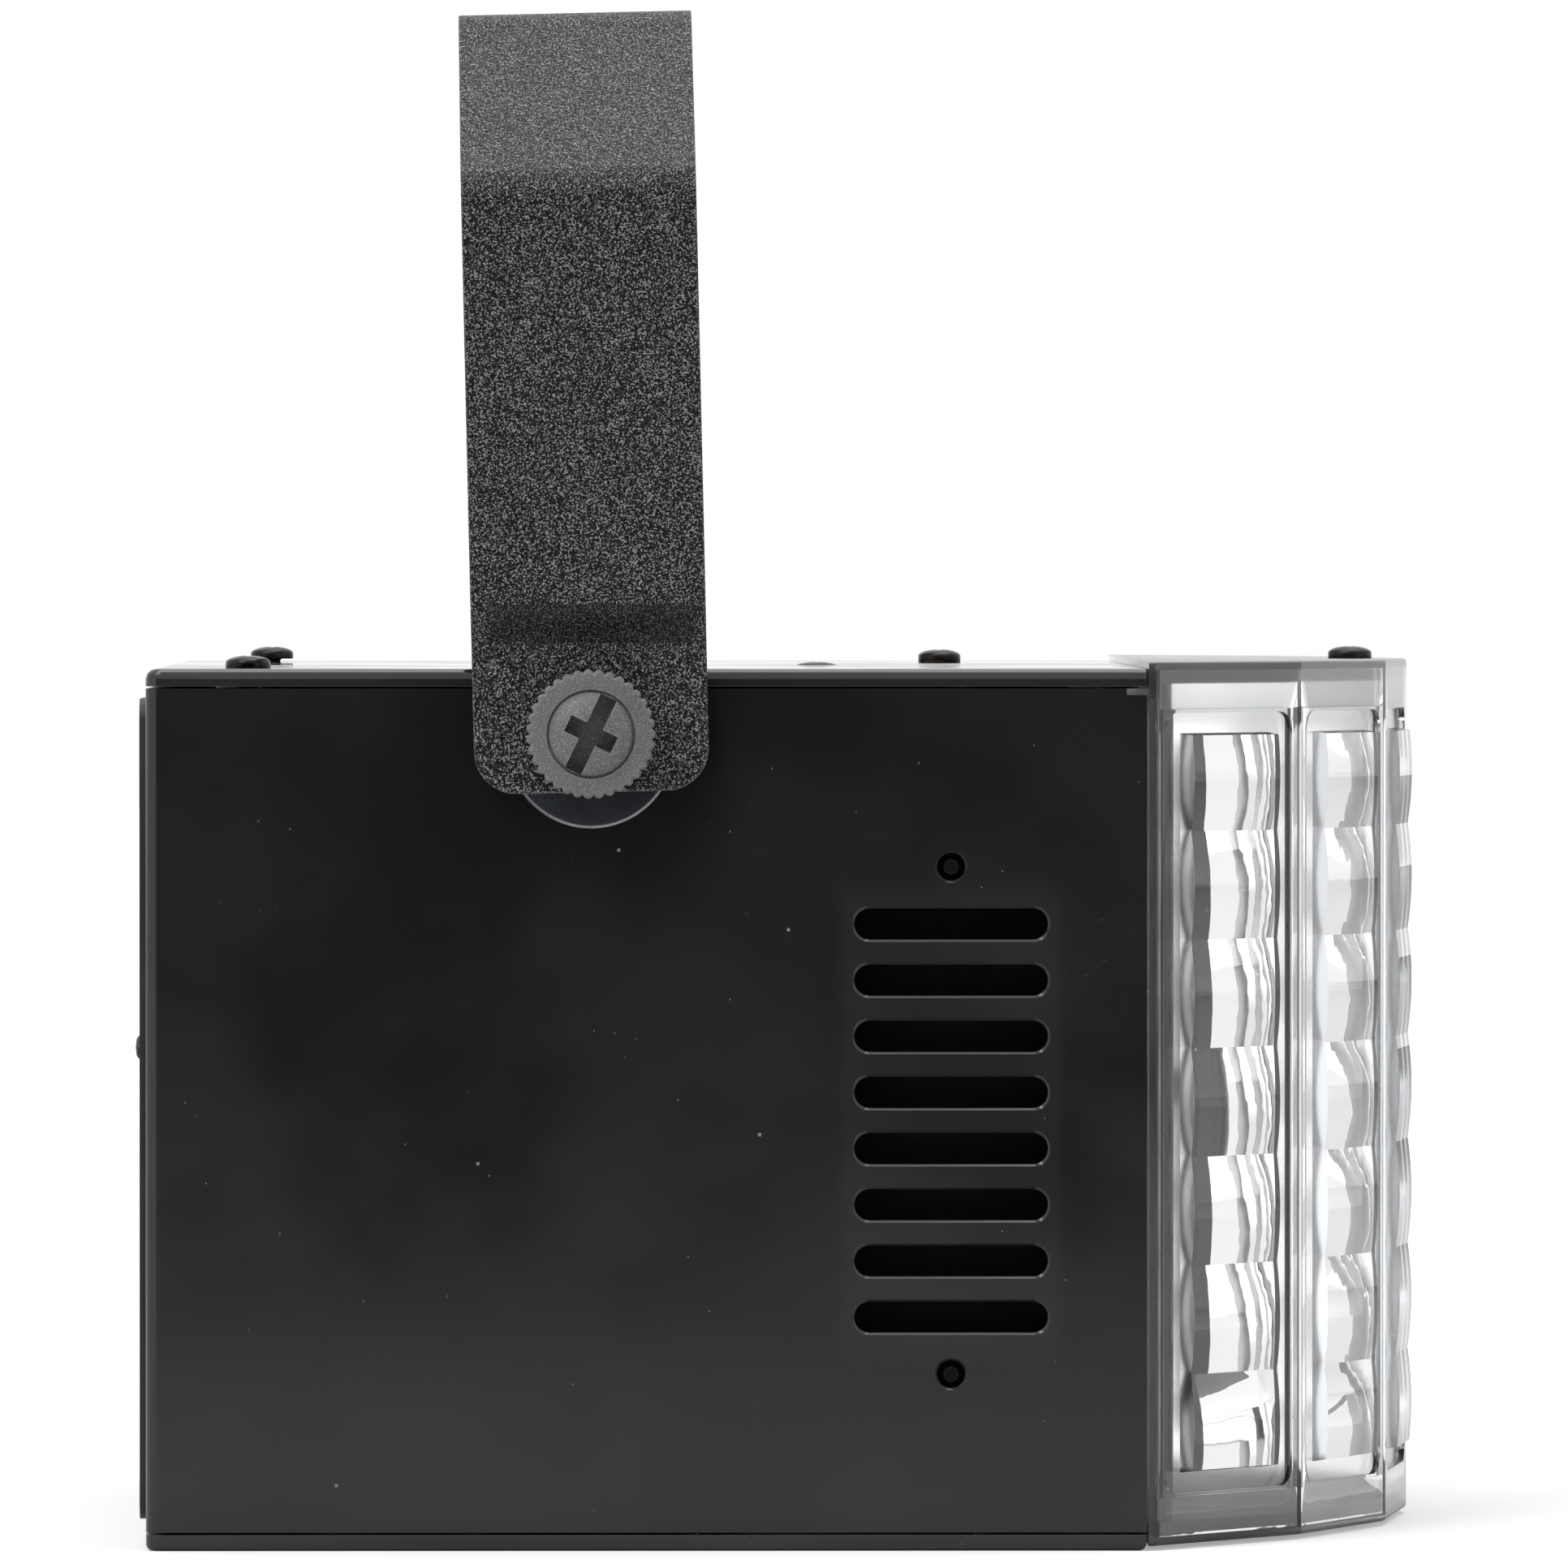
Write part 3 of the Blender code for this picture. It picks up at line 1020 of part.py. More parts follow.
def lens_panel(bm, matrix):
    """Add one facet's pane: a flat floor that carries a column of raised lenses."""
    known = set(bm.verts)
    bmesh.ops.create_grid(bm, x_segments=1, y_segments=LENS_ROWS * LENS_STEPS, size=0.5)
    grid = set(bm.verts) - known
    rims = [edge for edge in bm.edges if edge.is_boundary and edge.verts[0] in grid]
    half_width = facet_width() / 2 - WINDOW_SIDE_MARGIN + PANEL_OVERLAP
    half_height = (COVER_TOP - COVER_BOTTOM) / 2 - WINDOW_END_MARGIN + PANEL_OVERLAP
    ring = bmesh.ops.extrude_edge_only(bm, edges=rims)["geom"]
    skirt = bmesh.ops.extrude_edge_only(bm, edges=[item for item in ring
                                                   if isinstance(item, bmesh.types.BMEdge)])["geom"]
    bmesh.ops.edgeloop_fill(bm, edges=[item for item in skirt if isinstance(item, bmesh.types.BMEdge)])
    for depth, group in ((PANEL_FLOOR, ring), (PANEL_BACK, skirt)):
        for vert in [item for item in group if isinstance(item, bmesh.types.BMVert)]:
            place = Vector((vert.co.x * lens_width(), lens_row_height(vert.co.y), -depth))
            if abs(vert.co.x) > 0.499:
                place.x = math.copysign(half_width, place.x)
            if abs(vert.co.y) > 0.499:
                place.y = math.copysign(half_height, place.y)
            vert.co = place
    for vert in grid:
        up = lens_row_height(vert.co.y)
        vert.co = Vector((vert.co.x * lens_width(), up, lens_height(up)))
    made = [vert for vert in bm.verts if vert not in known]
    bmesh.ops.transform(bm, matrix=matrix, verts=made)
    bmesh.ops.recalc_face_normals(bm, faces=list({face for vert in made for face in vert.link_faces}))


def lens_row_height(share):
    """Height on the pane of a share from -0.5 to 0.5 of its rows."""
    place = (share + 0.5) * LENS_ROWS
    row = min(int(place + 0.001), LENS_ROWS - 1)
    return row_edge(row) + (row_edge(row + 1) - row_edge(row)) * (place - row)


def bow_outline(inset, rear_x):
    """Plan of the bow, moved in by an even inset and cut off at a plane behind its facets."""
    corners = bow_corners(inset)
    share = (rear_x - corners[0].x) / (corners[1].x - corners[0].x)
    start = corners[0].lerp(corners[1], share)
    return [start] + corners[1:-1] + [Vector((start.x, -start.y, 0.0))]


def build_lens_cover():
    """Clear bow of flat facets with lens panes, and a flange and lip that fit the housing."""
    corners = bow_corners(0.0)
    rear = [Vector((COVER_REAR_X, corners[-1].y, 0.0)), Vector((COVER_REAR_X, corners[0].y, 0.0))]
    bm = bmesh.new()
    plate_from_outline(bm, corners + rear, COVER_BOTTOM, COVER_TOP)
    ends = {face for face in bm.faces if abs(face.normal.z) > 0.9}
    sharp = [edge for edge in bm.edges if set(edge.link_faces) & ends
             and min(vert.co.x for vert in edge.verts) < max(vert.co.x for vert in edge.verts)]
    round_off(bm, sharp, COVER_EDGE_RADIUS, 2)
    cover = piece("lens_cover", bm, "clear_plastic")

    bm = bmesh.new()
    plate_from_outline(bm, bow_outline(COVER_WALL, COVER_REAR_X + COVER_RIM),
                       COVER_BOTTOM + COVER_WALL, COVER_TOP - COVER_WALL)
    lip_y = INNER_Y - PART_GAP
    opening_y = lip_y - COVER_LIP_WALL
    block(bm, (COVER_REAR_X - EMBED, -opening_y, SHELL_BOTTOM + COVER_LIP_WALL),
          (COVER_REAR_X + COVER_RIM + EMBED, opening_y, SHELL_TOP - COVER_LIP_WALL))
    cut(cover, tool("cover_cavity", bm), crossing=True)

    bm = bmesh.new()
    window_frame(bm, (COVER_REAR_X - COVER_LIP_LENGTH, -lip_y, SHELL_BOTTOM),
                 (COVER_REAR_X + COVER_RIM / 2, lip_y, SHELL_TOP), COVER_LIP_WALL)
    join(cover, tool("cover_lip", bm))
    bm = bmesh.new()
    for side in (-1, 1):
        near, far = sorted((side * (lip_y - EMBED), side * (SIDE_Y - PART_GAP)))
        block(bm, (FRONT_X - SEAM_NOTCH_LENGTH + PART_GAP, near, SHELL_TOP - SEAM_NOTCH_DEPTH + PART_GAP),
              (COVER_REAR_X + COVER_RIM / 2, far, SHELL_TOP))
    join(cover, tool("cover_ears", bm))

    bm = bmesh.new()
    half_width = facet_width() / 2 - WINDOW_SIDE_MARGIN
    half_height = (COVER_TOP - COVER_BOTTOM) / 2 - WINDOW_END_MARGIN
    for matrix in facet_matrices():
        known = set(bm.verts)
        rounded_block(bm, (-half_width, -half_height, EMBED - PANEL_BACK), (half_width, half_height, WALL),
                      2, WINDOW_CORNER_RADIUS, 3)
        bmesh.ops.transform(bm, matrix=matrix, verts=[vert for vert in bm.verts if vert not in known])
    cut(cover, tool("cover_windows", bm))

    bm = bmesh.new()
    for matrix in facet_matrices():
        lens_panel(bm, matrix)
    join(cover, tool("cover_panes", bm))
    bm = bmesh.new()
    rod(bm, (COVER_SCREW_X, 0.0, COVER_TOP - 2 * COVER_WALL), (COVER_SCREW_X, 0.0, COVER_TOP + COVER_WALL),
        SCREW_HOLE_RADIUS)
    cut(cover, tool("cover_screw_hole", bm))
    add_screw("cover_screw", (COVER_SCREW_X, 0.0, COVER_TOP), (0, 0, 1), length=COVER_SCREW_LENGTH)


def lens_places():
    """Places of the four beams round the wheel's axis: y and z."""
    for index in range(len(LED_NAMES)):
        angle = math.radians(45.0) + index * 2 * math.pi / len(LED_NAMES)
        yield LED_CIRCLE * math.cos(angle), AXIS_Z + LED_CIRCLE * math.sin(angle)


def build_front_chassis():
    """Upright plate with the beam holes, and flanges above and below that carry the cover."""
    low = COVER_BOTTOM + COVER_WALL + PART_GAP
    high = COVER_TOP - COVER_WALL - PART_GAP
    bm = bmesh.new()
    block(bm, (CHASSIS_X, -CHASSIS_HALF_WIDTH, low + CHASSIS_SHEET / 2),
          (CHASSIS_X + CHASSIS_SHEET, CHASSIS_HALF_WIDTH, high - CHASSIS_SHEET / 2))
    chassis = piece("front_chassis", bm, "matt_black_plastic", smooth=False)
    bm = bmesh.new()
    outline = bow_outline(COVER_WALL + CHASSIS_CLEARANCE, CHASSIS_X)
    plate_from_outline(bm, outline, low, low + CHASSIS_SHEET)
    plate_from_outline(bm, outline, high - CHASSIS_SHEET, high)
    join(chassis, tool("chassis_flanges", bm))
    bm = bmesh.new()
    for y, z in lens_places():
        rod(bm, (CHASSIS_X - EMBED, y, z), (CHASSIS_X + 2 * CHASSIS_SHEET, y, z), BEAM_HOLE_RADIUS,
            WIDE_STEPS)
    rod(bm, (CHASSIS_X - EMBED, 0.0, AXIS_Z), (CHASSIS_X + 2 * CHASSIS_SHEET, 0.0, AXIS_Z),
        CENTRE_HOLE_RADIUS)
    rod(bm, (COVER_SCREW_X, 0.0, high - 2 * CHASSIS_SHEET), (COVER_SCREW_X, 0.0, high + CHASSIS_SHEET),
        SCREW_HOLE_RADIUS)
    cut(chassis, tool("chassis_holes", bm))


def folded_sheet(bm, path, run, bend):
    """Add an open sheet that follows the path and is drawn out along the run, with its folds rounded."""
    verts = [bm.verts.new(point) for point in path]
    edges = [bm.edges.new(pair) for pair in zip(verts, verts[1:])]
    drawn = bmesh.ops.extrude_edge_only(bm, edges=edges)["geom"]
    moved = [item for item in drawn if isinstance(item, bmesh.types.BMVert)]
    bmesh.ops.translate(bm, verts=moved, vec=run)
    folds = [edge for edge in bm.edges if not edge.is_boundary]
    round_off(bm, folds, bend, 3)


def lean_back(bm):
    """Carry a shape drawn round the pivot to its place, leaning as the yoke does."""
    matrix = Matrix.Translation(PIVOT) @ Matrix.Rotation(-YOKE_LEAN, 4, "Y")
    bmesh.ops.transform(bm, matrix=matrix, verts=bm.verts)


def build_yoke():
    """Folded strip: two tabs, two arms set out by a jog, sloping shoulders and a crossbar."""
    tab_y = TAB_INNER_Y + YOKE_SHEET / 2
    arm_y = tab_y + YOKE_JOG_OUT
    half = [(tab_y, -YOKE_TAB_BELOW), (tab_y, YOKE_JOG_START), (arm_y, YOKE_JOG_END),
            (arm_y, YOKE_SHOULDER_START), (arm_y - YOKE_SHOULDER_IN, YOKE_TOP - YOKE_SHEET / 2)]
    path = [Vector((-YOKE_WIDTH / 2, -y, z)) for y, z in half]
    path += [Vector((-YOKE_WIDTH / 2, y, z)) for y, z in reversed(half)]
    bm = bmesh.new()
    folded_sheet(bm, path, Vector((YOKE_WIDTH, 0.0, 0.0)), YOKE_BEND_RUN)
    tips = [vert for vert in bm.verts if abs(vert.co.z + YOKE_TAB_BELOW) < PART_GAP]
    bmesh.ops.bevel(bm, geom=tips, offset=YOKE_TAB_RADIUS, offset_type="OFFSET", segments=5, profile=0.5,
                    affect="VERTICES", material=-1)
    lean_back(bm)
    yoke = piece("yoke", bm, "powder_coat", origin=PIVOT)
    solidify = yoke.modifiers.new("sheet", "SOLIDIFY")
    solidify.thickness = YOKE_SHEET
    solidify.offset = 0.0
    solidify.use_even_offset = True

    bm = bmesh.new()
    for side in (-1, 1):
        rod(bm, (0.0, side * (tab_y - YOKE_SHEET), 0.0), (0.0, side * (tab_y + YOKE_SHEET), 0.0),
            SHANK_HOLE_RADIUS)
        near = side * YOKE_SLOT_Y - YOKE_SLOT_LENGTH / 2
        rounded_block(bm, (-YOKE_SLOT_WIDTH / 2, near, YOKE_TOP - 2 * YOKE_SHEET),
                      (YOKE_SLOT_WIDTH / 2, near + YOKE_SLOT_LENGTH, YOKE_TOP + YOKE_SHEET),
                      2, YOKE_SLOT_WIDTH * VENT_ROUNDING, 5)
    rod(bm, (0.0, 0.0, YOKE_TOP - 2 * YOKE_SHEET), (0.0, 0.0, YOKE_TOP + YOKE_SHEET), YOKE_HANG_HOLE_RADIUS)
    lean_back(bm)
    cut(yoke, tool("yoke_holes", bm))


def build_pivot(name, side):
    """One pivot: knurled thumbscrew, friction washer under the tab, and nut inside the wall."""
    out = Vector((0.0, side, 0.0))
    base = TAB_INNER_Y + YOKE_SHEET + PART_GAP
    face = base + KNOB_THICKNESS
    seat = Vector((PIVOT_X, 0.0, PIVOT_Z))
    bm = bmesh.new()
    verts = rod(bm, seat + out * base, seat + out * face, KNOB_RADIUS, 2 * KNOB_TEETH)
    for vert in verts:
        offset = Vector((vert.co.x - PIVOT_X, 0.0, vert.co.z - PIVOT_Z))
        tooth = round(math.atan2(offset.z, offset.x) * KNOB_TEETH / math.pi - 0.5 / KNOB_TEETH)
        if tooth % 2:
            vert.co -= offset * (1 - KNOB_ROOT_RADIUS / KNOB_RADIUS)
    knob = piece("thumbscrew_" + name, bm, "grey_knob", origin=seat + out * base)
    bm = bmesh.new()
    rod(bm, seat + out * (face - KNOB_GROOVE_DEPTH), seat + out * (face + KNOB_GROOVE_DEPTH),
        KNOB_BOSS_RADIUS + KNOB_GROOVE_WIDTH)
    cut(knob, tool(name + "_knob_groove", bm))
    nut_end = INNER_Y - PART_GAP - NUT_THICKNESS
    tip = nut_end - WALL / 2 - base
    profile = dome(KNOB_BOSS_RADIUS, KNOB_THICKNESS, KNOB_BOSS_HEIGHT)
    profile += [(KNOB_BOSS_RADIUS, KNOB_THICKNESS - KNOB_GROOVE_DEPTH - EMBED)]
    profile += [(SCREW_SHANK_RADIUS, KNOB_THICKNESS - KNOB_GROOVE_DEPTH - EMBED)]
    profile += [(SCREW_SHANK_RADIUS, tip), (0.0, tip)]
    join(knob, turned(name + "_knob_boss", profile, seat + out * base, out))
    bm = bmesh.new()
    crown = seat + out * (face + KNOB_BOSS_HEIGHT)
    turn = Matrix.Translation(crown) @ Matrix.Rotation(side * KNOB_SLOT_ANGLE, 4, "Y")
    sizes = ((KNOB_SLOT_LENGTH, KNOB_SLOT_WIDTH), (KNOB_SLOT_WIDTH, KNOB_CROSS_LENGTH))
    for length, width in sizes:
        matrix = turn @ Matrix.Diagonal((length, 2 * KNOB_RECESS_DEPTH, width, 1.0))
        bmesh.ops.create_cube(bm, size=1.0, matrix=matrix)
    cut(knob, tool(name + "_knob_slot", bm), crossing=True)

    washer_place = seat + out * (SIDE_Y + PART_GAP) - Vector((0.0, 0.0, WASHER_DROP))
    ring = [(WASHER_RADIUS, WASHER_THICKNESS), (WASHER_RADIUS, 0.0),
            (WASHER_HOLE_RADIUS, 0.0), (WASHER_HOLE_RADIUS, WASHER_THICKNESS)]
    turned("friction_washer_" + name, ring, washer_place, out, "clear_plastic", WIDE_STEPS, bored=True)

    bm = bmesh.new()
    rod(bm, seat + out * nut_end, seat + out * (nut_end + NUT_THICKNESS), NUT_RADIUS, 6)
    nut = piece("pivot_nut_" + name, bm, "steel", smooth=False)
    bm = bmesh.new()
    rod(bm, seat + out * (nut_end - WALL), seat + out * (nut_end + NUT_THICKNESS + WALL), SHANK_HOLE_RADIUS)
    cut(nut, tool(name + "_nut_bore", bm))


def build_bracket_and_motor():
    """Folded bracket from floor to lid, with the motor behind its web."""
    low = FLOOR_THICKNESS + PART_GAP + BRACKET_SHEET / 2
    high = LID_UNDERSIDE - PART_GAP - BRACKET_SHEET / 2
    path = [Vector((x, -BRACKET_HALF_WIDTH, z)) for x, z in
            ((BRACKET_REAR_X, low), (BRACKET_WEB_X, low), (BRACKET_WEB_X, high), (BRACKET_REAR_X, high))]
    bm = bmesh.new()
    folded_sheet(bm, path, Vector((0.0, 2 * BRACKET_HALF_WIDTH, 0.0)), BRACKET_SHEET)
    bmesh.ops.recalc_face_normals(bm, faces=bm.faces)
    bracket = piece("motor_bracket", bm, "steel")
    solidify = bracket.modifiers.new("sheet", "SOLIDIFY")
    solidify.thickness = BRACKET_SHEET
    solidify.offset = 0.0
    solidify.use_even_offset = True
    bm = bmesh.new()
    rod(bm, (WEB_REAR_X - WALL, 0.0, AXIS_Z), (WEB_FRONT_X + WALL, 0.0, AXIS_Z), CENTRE_HOLE_RADIUS)
    rod(bm, (LOW_SCREW_X, LOW_SCREW_Y, high - BRACKET_SHEET),
        (LOW_SCREW_X, LOW_SCREW_Y, high + BRACKET_SHEET), SCREW_HOLE_RADIUS)
    cut(bracket, tool("bracket_holes", bm))

    edge = MOTOR_RADIUS * 0.08
    profile = [(0.0, MOTOR_BOSS_LENGTH), (MOTOR_BOSS_RADIUS, MOTOR_BOSS_LENGTH), (MOTOR_BOSS_RADIUS, 0.0)]
    profile += [(MOTOR_RADIUS, 0.0), (MOTOR_RADIUS, edge - MOTOR_LENGTH)]
    profile += [(MOTOR_RADIUS - edge, -MOTOR_LENGTH), (0.0, -MOTOR_LENGTH)]
    turned("wheel_motor", profile, (MOTOR_FRONT_X, 0.0, AXIS_Z), (1, 0, 0), "steel", WIDE_STEPS // 2)


def build_wheel():
    """Motor shaft, apertured effect wheel on its hub, and the screw that holds it."""
    hub_face = WHEEL_X + WHEEL_HUB_LENGTH
    shaft_rear = MOTOR_FRONT_X + MOTOR_BOSS_LENGTH + PART_GAP
    bm = bmesh.new()
    rod(bm, (shaft_rear, 0.0, AXIS_Z), (hub_face - PART_GAP, 0.0, AXIS_Z), SHAFT_RADIUS)
    shaft = piece("motor_shaft", bm, "steel", origin=(shaft_rear, 0.0, AXIS_Z))
    bm = bmesh.new()
    rod(bm, (hub_face - SCREW_LENGTH - 2 * SCREW_THREAD_RADIUS, 0.0, AXIS_Z), (hub_face + WALL, 0.0, AXIS_Z),
        SCREW_HOLE_RADIUS, ROUND_STEPS // 2)
    cut(shaft, tool("shaft_bore", bm))

    bm = bmesh.new()
    rod(bm, (WHEEL_X, 0.0, AXIS_Z), (WHEEL_X + WHEEL_THICKNESS, 0.0, AXIS_Z), WHEEL_RADIUS, WIDE_STEPS)
    wheel = piece("effect_wheel", bm, "matt_black_plastic", origin=(WHEEL_X, 0.0, AXIS_Z))
    bm = bmesh.new()
    rod(bm, (WHEEL_X + EMBED, 0.0, AXIS_Z), (hub_face, 0.0, AXIS_Z), WHEEL_HUB_RADIUS)
    join(wheel, tool("wheel_hub", bm))
    bm = bmesh.new()
    rod(bm, (WHEEL_X - WALL, 0.0, AXIS_Z), (hub_face + WALL, 0.0, AXIS_Z), SHAFT_RADIUS + SHAFT_CLEARANCE)
    for index in range(WHEEL_HOLES):
        turn = 2 * math.pi * index / WHEEL_HOLES
        for circle, radius, offset in ((WHEEL_HOLE_CIRCLE, WHEEL_HOLE_RADIUS, 0.0),
                                       (WHEEL_INNER_CIRCLE, WHEEL_INNER_HOLE_RADIUS, math.pi / WHEEL_HOLES)):
            y = circle * math.cos(turn + offset)
            z = AXIS_Z + circle * math.sin(turn + offset)
            rod(bm, (WHEEL_X - WALL, y, z), (WHEEL_X + WHEEL_THICKNESS + WALL, y, z), radius, SCREW_STEPS)
    cut(wheel, tool("wheel_holes", bm))
    add_screw("wheel_screw", (hub_face, 0.0, AXIS_Z), (1, 0, 0))


def build_light_source():
    """Finned heatsink, board with four emitters, a lens over each, and the ring that holds them."""
    bm = bmesh.new()
    block(bm, (HEATSINK_REAR_X, -HEATSINK_HALF_WIDTH, AXIS_Z - HEATSINK_HALF_HEIGHT),
          (HEATSINK_REAR_X + HEATSINK_THICKNESS, HEATSINK_HALF_WIDTH, AXIS_Z + HEATSINK_HALF_HEIGHT))
    heatsink = piece("led_heatsink", bm, "aluminium", smooth=False)
    bm = bmesh.new()
    fin_half_height = HEATSINK_HALF_HEIGHT - FIN_THICKNESS
    for side in (-1, 1):
        for index in range(FIN_COUNT):
            y = side * (FIN_FIRST_Y + index * FIN_PITCH)
            block(bm, (HEATSINK_REAR_X - FIN_DEPTH, y - FIN_THICKNESS / 2, AXIS_Z - fin_half_height),
                  (HEATSINK_REAR_X + EMBED, y + FIN_THICKNESS / 2, AXIS_Z + fin_half_height))
    join(heatsink, tool("heatsink_fins", bm))
    bm = bmesh.new()
    rod(bm, (HEATSINK_REAR_X - WALL, 0.0, AXIS_Z), (HEATSINK_REAR_X + HEATSINK_THICKNESS + WALL, 0.0, AXIS_Z),
        CENTRE_HOLE_RADIUS)
    cut(heatsink, tool("heatsink_hole", bm))

    bm = bmesh.new()
    rod(bm, (LED_BOARD_X, 0.0, AXIS_Z), (LED_BOARD_X + LED_BOARD_THICKNESS, 0.0, AXIS_Z), LED_BOARD_RADIUS,
        WIDE_STEPS)
    board = piece("led_board", bm, "white_board")
    bm = bmesh.new()
    for y, z in lens_places():
        block(bm, (LED_BOARD_X + LED_BOARD_THICKNESS - EMBED, y - LED_SIZE / 2, z - LED_SIZE / 2),
              (LED_FACE_X, y + LED_SIZE / 2, z + LED_SIZE / 2))
    join(board, tool("emitters", bm))
    bm = bmesh.new()
    rod(bm, (LED_BOARD_X - WALL, 0.0, AXIS_Z), (LED_FACE_X + WALL, 0.0, AXIS_Z), CENTRE_HOLE_RADIUS)
    cut(board, tool("led_board_hole", bm))

    body_end = LENS_FLANGE_THICKNESS + LENS_BODY_LENGTH
    profile = dome(LENS_BODY_RADIUS, body_end, LENS_DOME_HEIGHT, 5)
    profile += [(LENS_BODY_RADIUS, LENS_FLANGE_THICKNESS), (LENS_FLANGE_RADIUS, LENS_FLANGE_THICKNESS)]
    profile += [(LENS_FLANGE_RADIUS, 0.0), (0.0, 0.0)]
    for name, (y, z) in zip(LED_NAMES, lens_places()):
        turned("condenser_lens_" + name, profile, (LENS_REAR_X, y, z), (1, 0, 0), "clear_plastic")

    bm = bmesh.new()
    rod(bm, (HOLDER_REAR_X, 0.0, AXIS_Z), (HOLDER_REAR_X + HOLDER_THICKNESS, 0.0, AXIS_Z), HOLDER_RADIUS,
        WIDE_STEPS)
    holder = piece("lens_holder", bm, "matt_black_plastic")
    bm = bmesh.new()
    for index in range(len(LED_NAMES)):
        turn = index * 2 * math.pi / len(LED_NAMES)
        y = HOLDER_LEG_CIRCLE * math.cos(turn)
        z = AXIS_Z + HOLDER_LEG_CIRCLE * math.sin(turn)
        rod(bm, (LED_BOARD_X + LED_BOARD_THICKNESS + PART_GAP, y, z), (HOLDER_REAR_X + EMBED, y, z),
            HOLDER_LEG_RADIUS, ROUND_STEPS // 2)
    join(holder, tool("holder_legs", bm))
    bm = bmesh.new()
    for y, z in lens_places():
        rod(bm, (HOLDER_REAR_X - EMBED, y, z), (HOLDER_REAR_X + 2 * HOLDER_THICKNESS, y, z),
            LENS_BODY_RADIUS + PART_GAP)
    rod(bm, (HOLDER_REAR_X - EMBED, 0.0, AXIS_Z), (HOLDER_REAR_X + 2 * HOLDER_THICKNESS, 0.0, AXIS_Z),
        CENTRE_HOLE_RADIUS)
    cut(holder, tool("holder_holes", bm))


def build_power_supply():
    """Board on four posts, with a transformer and an upright capacitor."""
    bm = bmesh.new()
    block(bm, (SUPPLY_LOW_X, SUPPLY_LOW_Y, SUPPLY_Z), (SUPPLY_HIGH_X, SUPPLY_HIGH_Y, SUPPLY_TOP))
    piece("power_supply_board", bm, "green_board", smooth=False)
    base = SUPPLY_TOP + PART_GAP
    length, width, height = TRANSFORMER_SIZE
    bm = bmesh.new()
    block(bm, (TRANSFORMER_X - length / 2, TRANSFORMER_Y - width / 5, base),
          (TRANSFORMER_X + length / 2, TRANSFORMER_Y + width / 5, base + height))
    transformer = piece("transformer", bm, "brown_core", smooth=False)
    bm = bmesh.new()
    inset = length / 5
    rounded_block(bm, (TRANSFORMER_X - length / 2 + inset, TRANSFORMER_Y - width / 2, base + height / 6),
                  (TRANSFORMER_X + length / 2 - inset, TRANSFORMER_Y + width / 2, base + height * 5 / 6),
                  0, TRANSFORMER_COIL_RADIUS / 3)
    join(transformer, tool("transformer_coil", bm))
    groove = CAPACITOR_RADIUS * 0.92
    profile = [(0.0, CAPACITOR_HEIGHT), (CAPACITOR_RADIUS, CAPACITOR_HEIGHT)]
    profile += [(CAPACITOR_RADIUS, CAPACITOR_HEIGHT * 0.16), (groove, CAPACITOR_HEIGHT * 0.13)]
    profile += [(CAPACITOR_RADIUS, CAPACITOR_HEIGHT * 0.10), (CAPACITOR_RADIUS, 0.0), (0.0, 0.0)]
    turned("capacitor", profile, (CAPACITOR_X, CAPACITOR_Y, base), (0, 0, 1), "blue_sleeve")


def smooth_route(route):
    """Points a step apart on a smooth curve through the route, straight at both ends."""
    ends = [route[0] * 2 - route[1]] + route + [route[-1] * 2 - route[-2]]
    points = []
    for before, start, end, after in zip(ends, ends[1:], ends[2:], ends[3:]):
        count = max(2, round((end - start).length / LEAD_STEP))
        for index in range(count):
            t = index / count
            points.append(0.5 * ((2 * start) + (end - before) * t
                                 + (2 * before - 5 * start + 4 * end - after) * t ** 2
                                 + (3 * start - before - 3 * end + after) * t ** 3))
    return points + [route[-1]]


def add_lead(name, route, radius):
    """Insulated lead along a route, square to what it meets at each end."""
    points = smooth_route([Vector(point) for point in route])
    curve = bpy.data.curves.new(name, "CURVE")
    curve.dimensions = "3D"
    curve.bevel_depth = radius
    curve.bevel_resolution = 2
    curve.use_fill_caps = True
    spline = curve.splines.new("POLY")
    spline.points.add(len(points) - 1)
    for target, point in zip(spline.points, points):
        target.co = (*point, 1.0)
    obj = bpy.data.objects.new(name, curve)
    parts.objects.link(obj)
    curve.materials.append(finish_material(name, "grey_lead"))


